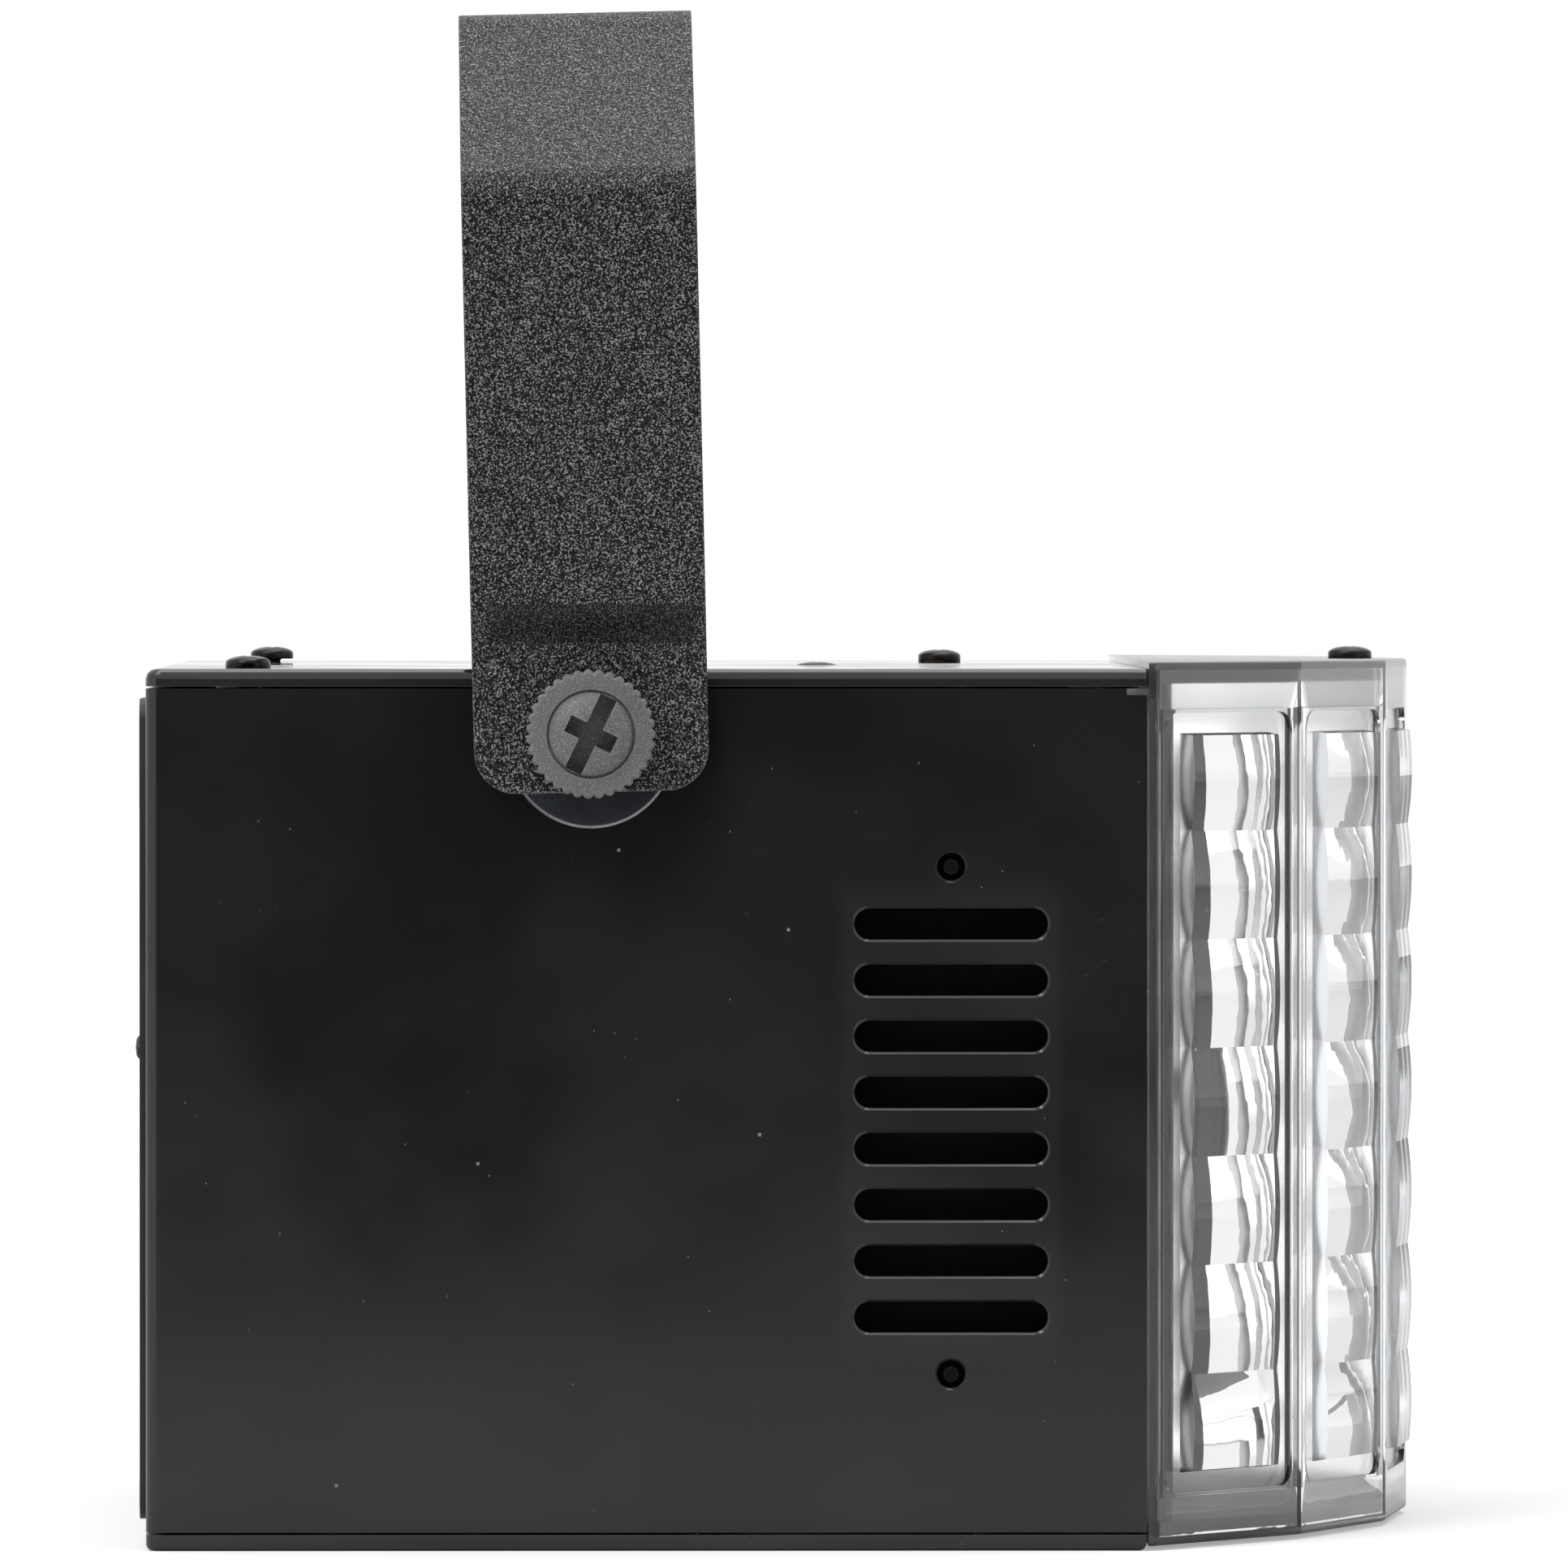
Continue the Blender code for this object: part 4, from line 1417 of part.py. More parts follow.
def add_leads():
    """Mains lead to the supply, and the supply's and controller's leads to the light and motor."""
    inlet_back = PLATE_FACE_X + SOCKET_RECESS + INLET_DEPTH + PART_GAP
    drop_x = TRANSFORMER_X - TRANSFORMER_SIZE[0] / 2 - 2 * MAINS_LEAD_RADIUS
    turn = (drop_x - inlet_back) / 2
    add_lead("mains_lead", [
        (inlet_back, INLET_Y, INLET_Z), (inlet_back + turn, INLET_Y, INLET_Z - turn / 6),
        (drop_x, INLET_Y, INLET_Z - turn), (drop_x, INLET_Y, (INLET_Z + SUPPLY_TOP) / 2),
        (drop_x, INLET_Y, SUPPLY_TOP + PART_GAP)], MAINS_LEAD_RADIUS)
    board_x = LED_BOARD_X + LED_BOARD_THICKNESS / 2
    rise_x = CAPACITOR_X + CAPACITOR_RADIUS / 2
    rise_y = HEATSINK_HALF_WIDTH + 3 * FIN_PITCH
    add_lead("led_lead", [
        (rise_x, rise_y, SUPPLY_TOP + PART_GAP), (rise_x, rise_y, SUPPLY_TOP + FIN_PITCH),
        (rise_x + 2 * FIN_PITCH, rise_y, AXIS_Z / 2), (BRACKET_WEB_X - FIN_PITCH, rise_y, AXIS_Z - FIN_PITCH),
        (board_x, rise_y - FIN_PITCH, AXIS_Z), (board_x, HEATSINK_HALF_WIDTH + FIN_PITCH / 2, AXIS_Z),
        (board_x, LED_BOARD_RADIUS + PART_GAP, AXIS_Z)], SIGNAL_LEAD_RADIUS)
    motor_rear = MOTOR_FRONT_X - MOTOR_LENGTH - PART_GAP
    start_y = CONTROL_BOARD_FAR_Y - 2 * FIN_DEPTH
    end_z = AXIS_Z + MOTOR_RADIUS / 2
    add_lead("motor_lead", [
        (CONTROL_BOARD_X + PART_GAP, start_y, DISPLAY_Z),
        (CONTROL_BOARD_X + 2 * FIN_PITCH, start_y, DISPLAY_Z),
        (REAR_X / 3, start_y * 2 / 3, end_z), (0.0, start_y / 6, AXIS_Z),
        (motor_rear - 2 * FIN_PITCH, 0.0, end_z), (motor_rear, 0.0, end_z)], SIGNAL_LEAD_RADIUS)


empty_scene()
parts = new_collection("derby_effect_light")
cutters = new_collection("cutters")
build_housing_shell()
build_lid()
build_floor()
add_housing_screws()
build_vent_baffle("vent_baffle_left", -1)
build_vent_baffle("vent_baffle_right", 1)
build_rear_plate()
add_buttons()
build_control_board()
build_socket("signal_socket_in", SOCKET_IN_Y, with_pins=True)
build_socket("signal_socket_out", SOCKET_OUT_Y, with_pins=False)
build_power_inlet()
build_lens_cover()
build_front_chassis()
build_yoke()
build_pivot("left", -1)
build_pivot("right", 1)
build_bracket_and_motor()
build_wheel()
build_light_source()
build_power_supply()
add_leads()
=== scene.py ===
"""Derby effect light: finished shapes, finishes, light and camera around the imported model.

Units are metres. +X runs forward along the beam, +Y to the far side, +Z up.
"""
import json
import math

import bmesh
import bpy
from mathutils import Matrix, Vector


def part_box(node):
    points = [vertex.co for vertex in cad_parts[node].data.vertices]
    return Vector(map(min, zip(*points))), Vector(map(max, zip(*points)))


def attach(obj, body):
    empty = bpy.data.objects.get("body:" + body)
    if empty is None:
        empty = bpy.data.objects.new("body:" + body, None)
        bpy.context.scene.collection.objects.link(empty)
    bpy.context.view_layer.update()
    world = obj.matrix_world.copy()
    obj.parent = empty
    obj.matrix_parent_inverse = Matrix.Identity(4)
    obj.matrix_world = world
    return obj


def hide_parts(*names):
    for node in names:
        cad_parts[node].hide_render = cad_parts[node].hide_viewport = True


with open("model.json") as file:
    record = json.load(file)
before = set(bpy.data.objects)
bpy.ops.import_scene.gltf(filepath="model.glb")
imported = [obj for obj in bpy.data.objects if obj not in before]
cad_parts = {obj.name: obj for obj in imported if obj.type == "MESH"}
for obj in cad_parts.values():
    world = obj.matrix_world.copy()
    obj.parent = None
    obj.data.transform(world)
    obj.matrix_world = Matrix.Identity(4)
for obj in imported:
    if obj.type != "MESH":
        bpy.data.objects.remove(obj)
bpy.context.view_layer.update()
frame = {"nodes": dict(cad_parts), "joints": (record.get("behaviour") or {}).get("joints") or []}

# Fits and steps
PART_GAP = 0.0003
EMBED = 0.0003
FINE_STEPS = 40            # sides of a small round piece
WIDE_STEPS = 96            # sides of a large round piece
ROUND_END = 0.48           # radius of a slot's ends as a share of its width
SPIN_MERGE = 0.000002
NODE_MERGE = 0.000004

# Edge radii
SCREW_EDGE = 0.00008
MOULD_EDGE = 0.00012
PLATE_EDGE = 0.00015
METAL_EDGE = 0.0002
SHARP_ANGLE = 42.0         # degrees past which an edge stays sharp; the cover has its own

# Housing, from the frame
SHELL_LOW, SHELL_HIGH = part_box("housing_shell")
LID_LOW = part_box("top_lid")[0]
REAR_X = SHELL_LOW.x
FRONT_X = SHELL_HIGH.x
SIDE_Y = SHELL_HIGH.y
WALL = 0.0025
INNER_Y = SIDE_Y - WALL
REAR_CORNER_RADIUS = 0.002
REAR_CORNER_STEPS = 10
POST_WIDTH = 0.009
POST_LOW = 0.0055
POST_CLEARANCE = 0.0006    # room between a screw post and the vent baffle
BOSS_RADIUS = 0.0035
BOSS_LENGTH = 0.005
SEAM_NOTCH_LENGTH = 0.0027
SEAM_NOTCH_DEPTH = 0.0009

# Vents, from the baffle behind them
BAFFLE_LOW, BAFFLE_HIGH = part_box("vent_baffle_left")
BAFFLE_MARGIN = 0.0035
VENT_CENTRE_X = (BAFFLE_LOW.x + BAFFLE_HIGH.x) / 2
VENT_CENTRE_Z = (BAFFLE_LOW.z + BAFFLE_HIGH.z) / 2
VENT_LENGTH = BAFFLE_HIGH.x - BAFFLE_LOW.x - 2 * BAFFLE_MARGIN
PEG_REACH = (BAFFLE_HIGH.z - BAFFLE_LOW.z) / 2 - BAFFLE_MARGIN
VENT_COUNT = 8
VENT_PITCH = 0.00766
VENT_HEIGHT = 0.00425
VENT_LIP = 0.0003
VENT_ROUND_STEPS = 9
PEG_HOLE_RADIUS = 0.0019
VENT_SHEEN_SHARE = 0.62          # half length of the painted sheen round the vents as a share of the vents' length

# Rear plate, from its node
PLATE_LOW, PLATE_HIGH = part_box("rear_plate")
PLATE_FACE_X = PLATE_LOW.x
REAR_PLATE_THICKNESS = 0.00165
PLATE_BACK_X = PLATE_FACE_X + REAR_PLATE_THICKNESS
REAR_OPENING_MARGIN = 0.0135
REAR_PLATE_CORNER = 0.003

# Lens cover, from its node
COVER_LOW, COVER_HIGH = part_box("lens_cover")
COVER_WALL = 0.0012
COVER_RIM = 0.001
COVER_LIP_LENGTH = 0.006
COVER_LIP_WALL = 0.0015
COVER_REAR_X = COVER_LOW.x + COVER_LIP_LENGTH
COVER_BOTTOM = COVER_LOW.z
COVER_TOP = COVER_HIGH.z
COVER_MIDDLE_Z = (COVER_TOP + COVER_BOTTOM) / 2
COVER_EDGE_RADIUS = 0.0006
FACET_COUNT = 6
FACET_TURN = math.radians(14.35)
WINDOW_SIDE_MARGIN = 0.0022
WINDOW_END_MARGIN = 0.0069
WINDOW_CORNER_RADIUS = 0.003
PANEL_OVERLAP = 0.0004
PANEL_FLOOR = 0.0008
PANEL_BACK = 0.0024
LENS_ROWS = 7
PANE_LEDGE = 0.0051
LENS_ROW_PITCH = 0.01485
PANE_END_LEDGE = 0.00315
LENS_RISE = 0.0014
LENS_CURVE_RADIUS = 0.050
LENS_STEPS = 16
CRISP_ANGLE = 12.0         # degrees past which an edge of the cover stays sharp
LEDGE_POLISH = 0.4         # polish of the flat ledge round the lenses
LENS_DRAFT = 0.0003        # how far the foot of a lens wall stands out from its top

# Yoke and its pivots, from their nodes and the tilt joint
YOKE_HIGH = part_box("yoke")[1]
TILT = [joint for joint in frame["joints"] if joint["name"] == "yoke_tilt"][0]
PIVOT = Vector((TILT["pos_m"][0], 0.0, TILT["pos_m"][2]))
YOKE_LEAN = math.radians(1.3)
YOKE_WIDTH = 0.032
YOKE_SHEET = 0.0018
YOKE_TAB_BELOW = 0.008
YOKE_TAB_RADIUS = 0.0058
YOKE_JOG_START = 0.0125
YOKE_JOG_END = 0.0175
YOKE_JOG_OUT = 0.0035
YOKE_SHOULDER_START = 0.0752
YOKE_TOP = 0.0989
YOKE_SHOULDER_IN = 0.028
YOKE_BEND_RUN = 0.002
YOKE_HANG_HOLE_RADIUS = 0.0053
YOKE_SLOT_LENGTH = 0.022
YOKE_SLOT_WIDTH = 0.0065
YOKE_SLOT_Y = 0.038
# half size of the patch of painted shade on the jog
YOKE_JOG_SHADE_HALF_WIDTH = 0.0155
YOKE_JOG_SHADE_HALF_HEIGHT = 0.0029
ARM_MIDDLE_Y = YOKE_HIGH.y - YOKE_SHEET / 2
TAB_MIDDLE_Y = ARM_MIDDLE_Y - YOKE_JOG_OUT
SHANK_RADIUS = 0.003
WASHER_BORE = 0.0047
KNOB_CROWN_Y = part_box("thumbscrew_right")[1].y
KNOB_RADIUS = 0.0088
KNOB_ROOT_RADIUS = 0.0082
KNOB_TEETH = 35
KNOB_TOOTH_STEPS = 14
KNOB_TOOTH_POWER = 0.35    # the lower, the fuller the teeth
KNOB_RIM_INSET = 0.00035
KNOB_RIM_RISE = 0.0003
KNOB_THICKNESS = 0.0062
KNOB_BOSS_RADIUS = 0.00575
KNOB_BOSS_HEIGHT = 0.0022
KNOB_GROOVE_WIDTH = 0.0003
KNOB_GROOVE_DEPTH = 0.0004
KNOB_SLOT_LENGTH = 0.0112
KNOB_SLOT_WIDTH = 0.0024
KNOB_CROSS_LENGTH = 0.007
KNOB_RECESS_DEPTH = 0.0050
KNOB_SLOT_ANGLE = math.radians(64.0)

# Screws
SCREW_HEAD_RADIUS = 0.0031
SCREW_THREAD_RADIUS = 0.0014
SCREW_HOLE_RADIUS = SCREW_THREAD_RADIUS + PART_GAP
SCREW_HEAD_HEIGHT = 0.0015
SCREW_RIM_SHARE = 0.35     # upright rim of a head as a share of its height
SCREW_SEAT = -0.9 * PART_GAP
THREAD_PITCH = 0.001
THREAD_ROOT_SHARE = 0.8    # root of a thread as a share of its crest
RECESS_LENGTH = 0.0034
RECESS_WIDTH = 0.00096
RECESS_DEPTH = 0.0010
RECESS_TAPER = 0.45        # size of a recess at its bottom as a share of its mouth

# Wheel and condenser lenses
WHEEL_SHEET = 0.002
WHEEL_HUB_RADIUS = 0.008
WHEEL_BORE_RADIUS = 0.00275
WHEEL_APERTURES = 9        # of each size
LARGE_APERTURES = (0.034, 0.0075, 0.0)   # radius of their ring, their radius and their turn
SMALL_APERTURES = (0.018, 0.0035, math.pi / 9)
CONDENSER_RADIUS = 0.011
CONDENSER_BODY = 0.0055
CONDENSER_FLANGE = 0.0015

# Camera and studio
CAMERA_PLACE = Vector((-0.0040, -2.4975, 0.1351))
CAMERA_TARGET = Vector((0.0188, -0.0975, 0.1046))
CAMERA_LENS = 404.3
SENSOR_WIDTH = 36.0
FLOOR_FRONT_Y = -0.84
FLOOR_REACH = 4.0
FLOOR_DROP = 0.00005
FLOOR_FADE = (0.0, 0.55)   # Y over which the floor fades to the white of the surround
FLOOR_LIFT = (0.32, 1.0)   # glow of the floor at the two ends of that run
FLOOR_COLOUR = (0.86, 0.86, 0.86, 1.0)
WHITE = (1.0, 1.0, 1.0, 1.0)
SCREEN_COLOUR = (0.02, 0.02, 0.022, 1.0)
SCREEN_REACH = 2.2
SCREEN_PLACE = (0.0, -3.4, -1.2)
SURROUND_LIGHT = 0.45      # how bright the white surround is as a light
LAMPS = (("key_lamp", (-1.0, -1.3, 1.9), 1.3, 30.0),    # name, place, size and power
         ("top_lamp", (0.3, 0.4, 2.2), 1.6, 22.0))
LAMP_TARGET = (0.0, 0.0, 0.08)

# Colours of dust, scratches, the painted sheen round the vents, frosted plastic and solder
DUST = (0.75, 0.72, 0.68)
SCRATCH = (0.5, 0.5, 0.5)
PAINTED_VENT_SHEEN = (0.06, 0.06, 0.06)
FROST = (0.66, 0.675, 0.69)
TIN = (0.62, 0.61, 0.58)


# Meshes

def middle(node):
    """The middle of a node's box."""
    low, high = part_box(node)
    return (low + high) / 2


def only(items, kind):
    return [item for item in items if isinstance(item, kind)]


def new_verts(bm, known):
    return [vert for vert in bm.verts if vert not in known]


def new_object(name, bm):
    """An object at the origin whose place is in its mesh."""
    mesh = bpy.data.meshes.new(name)
    bm.to_mesh(mesh)
    bm.free()
    obj = bpy.data.objects.new(name, mesh)
    bpy.context.scene.collection.objects.link(obj)
    return obj


def settle(obj):
    """Keep what the object's modifiers make as its mesh."""
    bpy.context.view_layer.update()
    graph = bpy.context.evaluated_depsgraph_get()
    mesh = bpy.data.meshes.new_from_object(obj.evaluated_get(graph))
    old = obj.data
    name = old.name
    obj.modifiers.clear()
    obj.data = mesh
    bpy.data.meshes.remove(old)
    mesh.name = name
    return obj


def combine(target, bm, operation="DIFFERENCE", crossing=False):
    """Cut a closed shape from a piece, or fuse it to the piece."""
    other = new_object("tool", bm)
    modifier = target.modifiers.new("combine", "BOOLEAN")
    modifier.operation = operation
    modifier.object = other
    modifier.solver = "EXACT"
    modifier.use_self = crossing
    settle(target)
    bpy.data.objects.remove(other)


def thicken(obj, thickness, offset):
    """Give an open sheet its thickness."""
    solidify = obj.modifiers.new("thickness", "SOLIDIFY")
    solidify.thickness = thickness
    solidify.offset = offset
    solidify.use_even_offset = True
    return settle(obj)


def round_off(bm, edges, radius, segments, affect="EDGES"):
    bmesh.ops.bevel(bm, geom=edges, offset=radius, offset_type="OFFSET", segments=segments,
                    profile=0.5, affect=affect, material=-1)


def block(bm, low, high):
    """Add a box between two corners."""
    low = Vector(low)
    high = Vector(high)
    matrix = Matrix.Translation((low + high) / 2) @ Matrix.Diagonal((*(high - low), 1.0))
    return bmesh.ops.create_cube(bm, size=1.0, matrix=matrix)["verts"]


def edges_along(verts, axis):
    """The edges among these vertices that run along one axis."""
    chosen = []
    for edge in {edge for vert in verts for edge in vert.link_edges}:
        run = edge.verts[0].co - edge.verts[1].co
        if abs(run[axis]) > 0.99 * run.length:
            chosen.append(edge)
    return chosen


def rounded_block(bm, low, high, axis, radius, segments=8):
    """Add a box whose four edges along one axis are rounded."""
    verts = block(bm, low, high)
    round_off(bm, edges_along(verts, axis), radius, segments)


def rod(bm, start, end, radius, segments=FINE_STEPS, end_radius=None):
    """Add a round bar or cone between two points."""
    start = Vector(start)
    end = Vector(end)
    span = end - start
    turn = span.to_track_quat("Z", "Y").to_matrix().to_4x4()
    matrix = Matrix.Translation((start + end) / 2) @ turn
    bmesh.ops.create_cone(bm, cap_ends=True, segments=segments, radius1=radius,
                          radius2=radius if end_radius is None else end_radius,
                          depth=span.length, matrix=matrix)


def window_frame(bm, low, high, wall):
    """Add a box with a window through it along X, leaving a frame of the given wall."""
    verts = block(bm, low, high)
    ends = [face for face in {face for vert in verts for face in vert.link_faces}
            if abs(face.normal.x) > 0.9]
    bmesh.ops.inset_individual(bm, faces=ends, thickness=wall, depth=0.0)
    rims = [edge for face in ends for edge in face.edges]
    bmesh.ops.delete(bm, geom=ends, context="FACES_ONLY")
    bmesh.ops.bridge_loops(bm, edges=rims)


def turned(bm, profile, place, axis, steps=FINE_STEPS):
    """Add a turned shape: the profile gives radius and height along the axis, from end to end."""
    verts = [bm.verts.new((radius, 0.0, height)) for radius, height in profile]
    edges = [bm.edges.new(pair) for pair in zip(verts, verts[1:])]
    known = set(bm.verts) - set(verts)
    bmesh.ops.spin(bm, geom=verts + edges, cent=(0.0, 0.0, 0.0), axis=(0.0, 0.0, 1.0),
                   angle=2 * math.pi, steps=steps, use_merge=True)
    bmesh.ops.remove_doubles(bm, verts=new_verts(bm, known), dist=SPIN_MERGE)
    made = new_verts(bm, known)
    matrix = Matrix.Translation(place) @ Vector(axis).to_track_quat("Z", "Y").to_matrix().to_4x4()
    bmesh.ops.transform(bm, matrix=matrix, verts=made)
    faces = list({face for vert in made for face in vert.link_faces})
    bmesh.ops.recalc_face_normals(bm, faces=faces)


def dome(radius, base, height, steps=10):
    """Profile points of a low dome, from its crown down to its rim."""
    points = []
    for index in range(steps + 1):
        angle = math.pi / 2 * index / steps
        points.append((radius * math.sin(angle), base + height * math.cos(angle)))
    return points


def soften(obj, width, segments=3, angle=30.0):
    """Round every sharp edge by a small radius and shade the piece so that its flats stay flat."""
    if width:
        bevel = obj.modifiers.new("soft_edges", "BEVEL")
        bevel.width = width
        bevel.segments = segments
        bevel.limit_method = "ANGLE"
        bevel.angle_limit = math.radians(angle)
        bevel.use_clamp_overlap = True
        settle(obj)
    obj.data.shade_smooth()
    obj.data.set_sharp_from_angle(angle=math.radians(SHARP_ANGLE))
    weighted = obj.modifiers.new("flat_faces", "WEIGHTED_NORMAL")
    weighted.keep_sharp = True
    weighted.weight = 50
    settle(obj)
    return obj


def dress(obj, node, finish, body="housing"):
    """Give a finished piece its material and its body, and hide the node that it stands for."""
    obj.data.materials.clear()
    obj.data.materials.append(FINISH[finish])
    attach(obj, body)
    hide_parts(node)


def dress_node(node, width, finish, body="housing"):
    """Dress a copy of a node with its flat faces joined up and its edges rounded."""
    bm = bmesh.new()
    bm.from_mesh(frame["nodes"][node].data)
    bmesh.ops.remove_doubles(bm, verts=bm.verts, dist=NODE_MERGE)
    bmesh.ops.dissolve_limit(bm, angle_limit=math.radians(1.0), verts=bm.verts, edges=bm.edges,
                             use_dissolve_boundaries=False)
    dress(soften(new_object(node + "_finished", bm), width), node, finish, body)


# Node trees

def add(tree, kind, inputs=None, **settings):
    """Add a node, set what it is told and join or fill its inputs."""
    node = tree.nodes.new(kind)
    for name, value in settings.items():
        setattr(node, name, value)
    for name, value in (inputs or {}).items():
        if isinstance(value, bpy.types.NodeSocket):
            tree.links.new(value, node.inputs[name])
        else:
            node.inputs[name].default_value = value
    return node


def maths(tree, operation, first, second=0.0, clamp=False):
    return add(tree, "ShaderNodeMath", {0: first, 1: second}, operation=operation,
               use_clamp=clamp).outputs[0]


def plus(tree, first, second, clamp=False):
    return maths(tree, "ADD", first, second, clamp)


def times(tree, first, second, clamp=False):
    return maths(tree, "MULTIPLY", first, second, clamp)


def ramp(tree, value, low, high, start=0.0, end=1.0):
    """A value that runs smoothly from start to end while the input goes from low to high."""
    return add(tree, "ShaderNodeMapRange",
               {"Value": value, "From Min": low, "From Max": high, "To Min": start, "To Max": end},
               interpolation_type="SMOOTHSTEP").outputs["Result"]


def noise(tree, vector, scale, detail=2.0, rough=0.5):
    return add(tree, "ShaderNodeTexNoise", {"Vector": vector, "Scale": scale, "Detail": detail,
                                            "Roughness": rough}).outputs["Fac"]


def separate(tree, vector):
    """The X, Y and Z of a place."""
    return add(tree, "ShaderNodeSeparateXYZ", {0: vector}).outputs


def stretch_place(tree, vector, **settings):
    return add(tree, "ShaderNodeMapping", {"Vector": vector, **settings}).outputs[0]


def blend(tree, factor, first, second):
    """The first colour, turning to the second as the factor goes from zero to one."""
    first, second = [value if isinstance(value, bpy.types.NodeSocket) else (*value, 1.0)
                     for value in (first, second)]
    return add(tree, "ShaderNodeMix", {0: factor, 6: first, 7: second}, data_type="RGBA").outputs[2]


def scaled(colour, factor, extra=0.0):
    return tuple(min(1.0, value * factor + extra) for value in colour)


# Shared effects

def effect(name, settings, outputs=("Mask",), placed=True):
    """A node group for one surface effect, with its settings and their usual values."""
    tree = bpy.data.node_groups.new(name, "ShaderNodeTree")
    if placed:
        tree.interface.new_socket(name="Vector", in_out="INPUT", socket_type="NodeSocketVector")
    for socket, value in settings.items():
        made = tree.interface.new_socket(name=socket, in_out="INPUT", socket_type="NodeSocketFloat")
        made.default_value = value
    for socket in outputs:
        tree.interface.new_socket(name=socket, in_out="OUTPUT", socket_type="NodeSocketFloat")
    return tree, tree.nodes.new("NodeGroupInput").outputs, tree.nodes.new("NodeGroupOutput").inputs


def dust_effect():
    """Sparse specks: one small dot in a share of the cells of a loose grid."""
    tree, given, out = effect("dust_specks", {"Cells": 300.0, "Share": 0.05, "Size": 0.12})
    cells = add(tree, "ShaderNodeTexVoronoi", {"Vector": given["Vector"], "Scale": given["Cells"]},
                feature="F1")
    split = add(tree, "ShaderNodeSeparateColor", {0: cells.outputs["Color"]})
    chosen = maths(tree, "LESS_THAN", split.outputs[0], given["Share"])
    radius = times(tree, given["Size"], plus(tree, split.outputs[1], 0.35))
    inside = maths(tree, "SUBTRACT", radius, cells.outputs["Distance"])
    tree.links.new(times(tree, ramp(tree, inside, 0.0, 0.05), chosen), out["Mask"])
    return tree


def scratch_effect():
    """Fine straight scratches in three directions, each kept only in patches."""
    tree, given, out = effect("fine_scratches", {"Scale": 60.0, "Amount": 0.5})
    total = None
    for turn, patch in ((0.35, 31.0), (-1.1, 47.0), (1.9, 23.0)):
        turned_place = stretch_place(tree, given["Vector"], Rotation=(turn * 0.3, turn, turn * 0.7))
        stretched = stretch_place(tree, turned_place, Scale=(1.0, 60.0, 60.0))
        thin = ramp(tree, noise(tree, stretched, given["Scale"], 1.0), 0.76, 0.80)
        kept = ramp(tree, noise(tree, given["Vector"], patch, 1.0), 0.6, 0.68)
        line = times(tree, thin, kept)
        total = line if total is None else maths(tree, "MAXIMUM", total, line)
    tree.links.new(times(tree, total, given["Amount"], clamp=True), out["Mask"])
    return tree


def smudge_effect():
    """Soft cloudy variation, as handling and the mould leave on plastic."""
    tree, given, out = effect("smudges", {"Scale": 25.0})
    broad = noise(tree, given["Vector"], given["Scale"], 3.0, 0.55)
    tree.links.new(ramp(tree, broad, 0.32, 0.68), out["Mask"])
    return tree


def grain_effect():
    """Powder coat: rounded grains of uneven size, and how much each spot of them catches the light, which
    the finishes paint into the colour as glints.
    """
    tree, given, out = effect("powder_grain", {"Cells": 2800.0}, ("Height", "Glint"))
    grains = add(tree, "ShaderNodeTexVoronoi", {"Vector": given["Vector"], "Scale": given["Cells"],
                                                "Smoothness": 0.6}, feature="SMOOTH_F1")
    swell = times(tree, noise(tree, given["Vector"], times(tree, given["Cells"], 0.35), 3.0, 0.6), 1.5)
    tree.links.new(maths(tree, "SUBTRACT", swell, grains.outputs["Distance"]), out["Height"])
    mottle = noise(tree, given["Vector"], times(tree, given["Cells"], 2.1), 1.0, 0.6)
    tree.links.new(ramp(tree, mottle, 0.50, 0.68), out["Glint"])
    return tree


def edge_effect():
    """How far a point is from flat: one along edges and corners, nothing on the flats."""
    tree, given, out = effect("edge_mask", {"Radius": 0.0005}, placed=False)
    rounded = add(tree, "ShaderNodeBevel", {"Radius": given["Radius"]}, samples=4)
    true = add(tree, "ShaderNodeNewGeometry")
    dot = add(tree, "ShaderNodeVectorMath", {0: rounded.outputs[0], 1: true.outputs["Normal"]},
              operation="DOT_PRODUCT")
    tree.links.new(ramp(tree, dot.outputs["Value"], 0.998, 0.93), out["Mask"])
    return tree


def patch_effect():
    """A soft-edged upright patch: one inside its half width and half height, nothing beyond."""
    tree, given, out = effect("soft_patch", {"Middle X": 0.0, "Middle Z": 0.0,
                                             "Half X": 0.015, "Half Z": 0.03})
    parts = separate(tree, given["Vector"])
    sides = []
    for axis in "XZ":
        reach = maths(tree, "ABSOLUTE", maths(tree, "SUBTRACT", parts[axis], given["Middle " + axis]))
        sides.append(ramp(tree, maths(tree, "DIVIDE", reach, given["Half " + axis]), 1.0, 0.82))
    tree.links.new(times(tree, *sides), out["Mask"])
    return tree


EFFECTS = {"dust": dust_effect(), "scratches": scratch_effect(), "smudges": smudge_effect(),
           "grain": grain_effect(), "edges": edge_effect(), "patch": patch_effect()}


def use_effect(tree, name, place=None, output="Mask", **settings):
    """Place one of the shared effects in a material and return one of its outputs."""
    inputs = {socket.replace("_", " "): value for socket, value in settings.items()}
    if place is not None:
        inputs["Vector"] = place
    return add(tree, "ShaderNodeGroup", inputs, node_tree=EFFECTS[name]).outputs[output]


# Finishes

def shader_inputs(tree):
    return tree.nodes["Principled BSDF"].inputs


def new_material(name, roughness, metallic=0.0, **plain):
    """A material with a Principled shader, its tree and the object's own coordinates."""
    material = bpy.data.materials.new(name)
    material.use_nodes = True
    tree = material.node_tree
    for socket, value in {"Roughness": roughness, "Metallic": metallic, **plain}.items():
        shader_inputs(tree)[socket.replace("_", " ")].default_value = value
    return material, tree, add(tree, "ShaderNodeTexCoord").outputs["Object"]


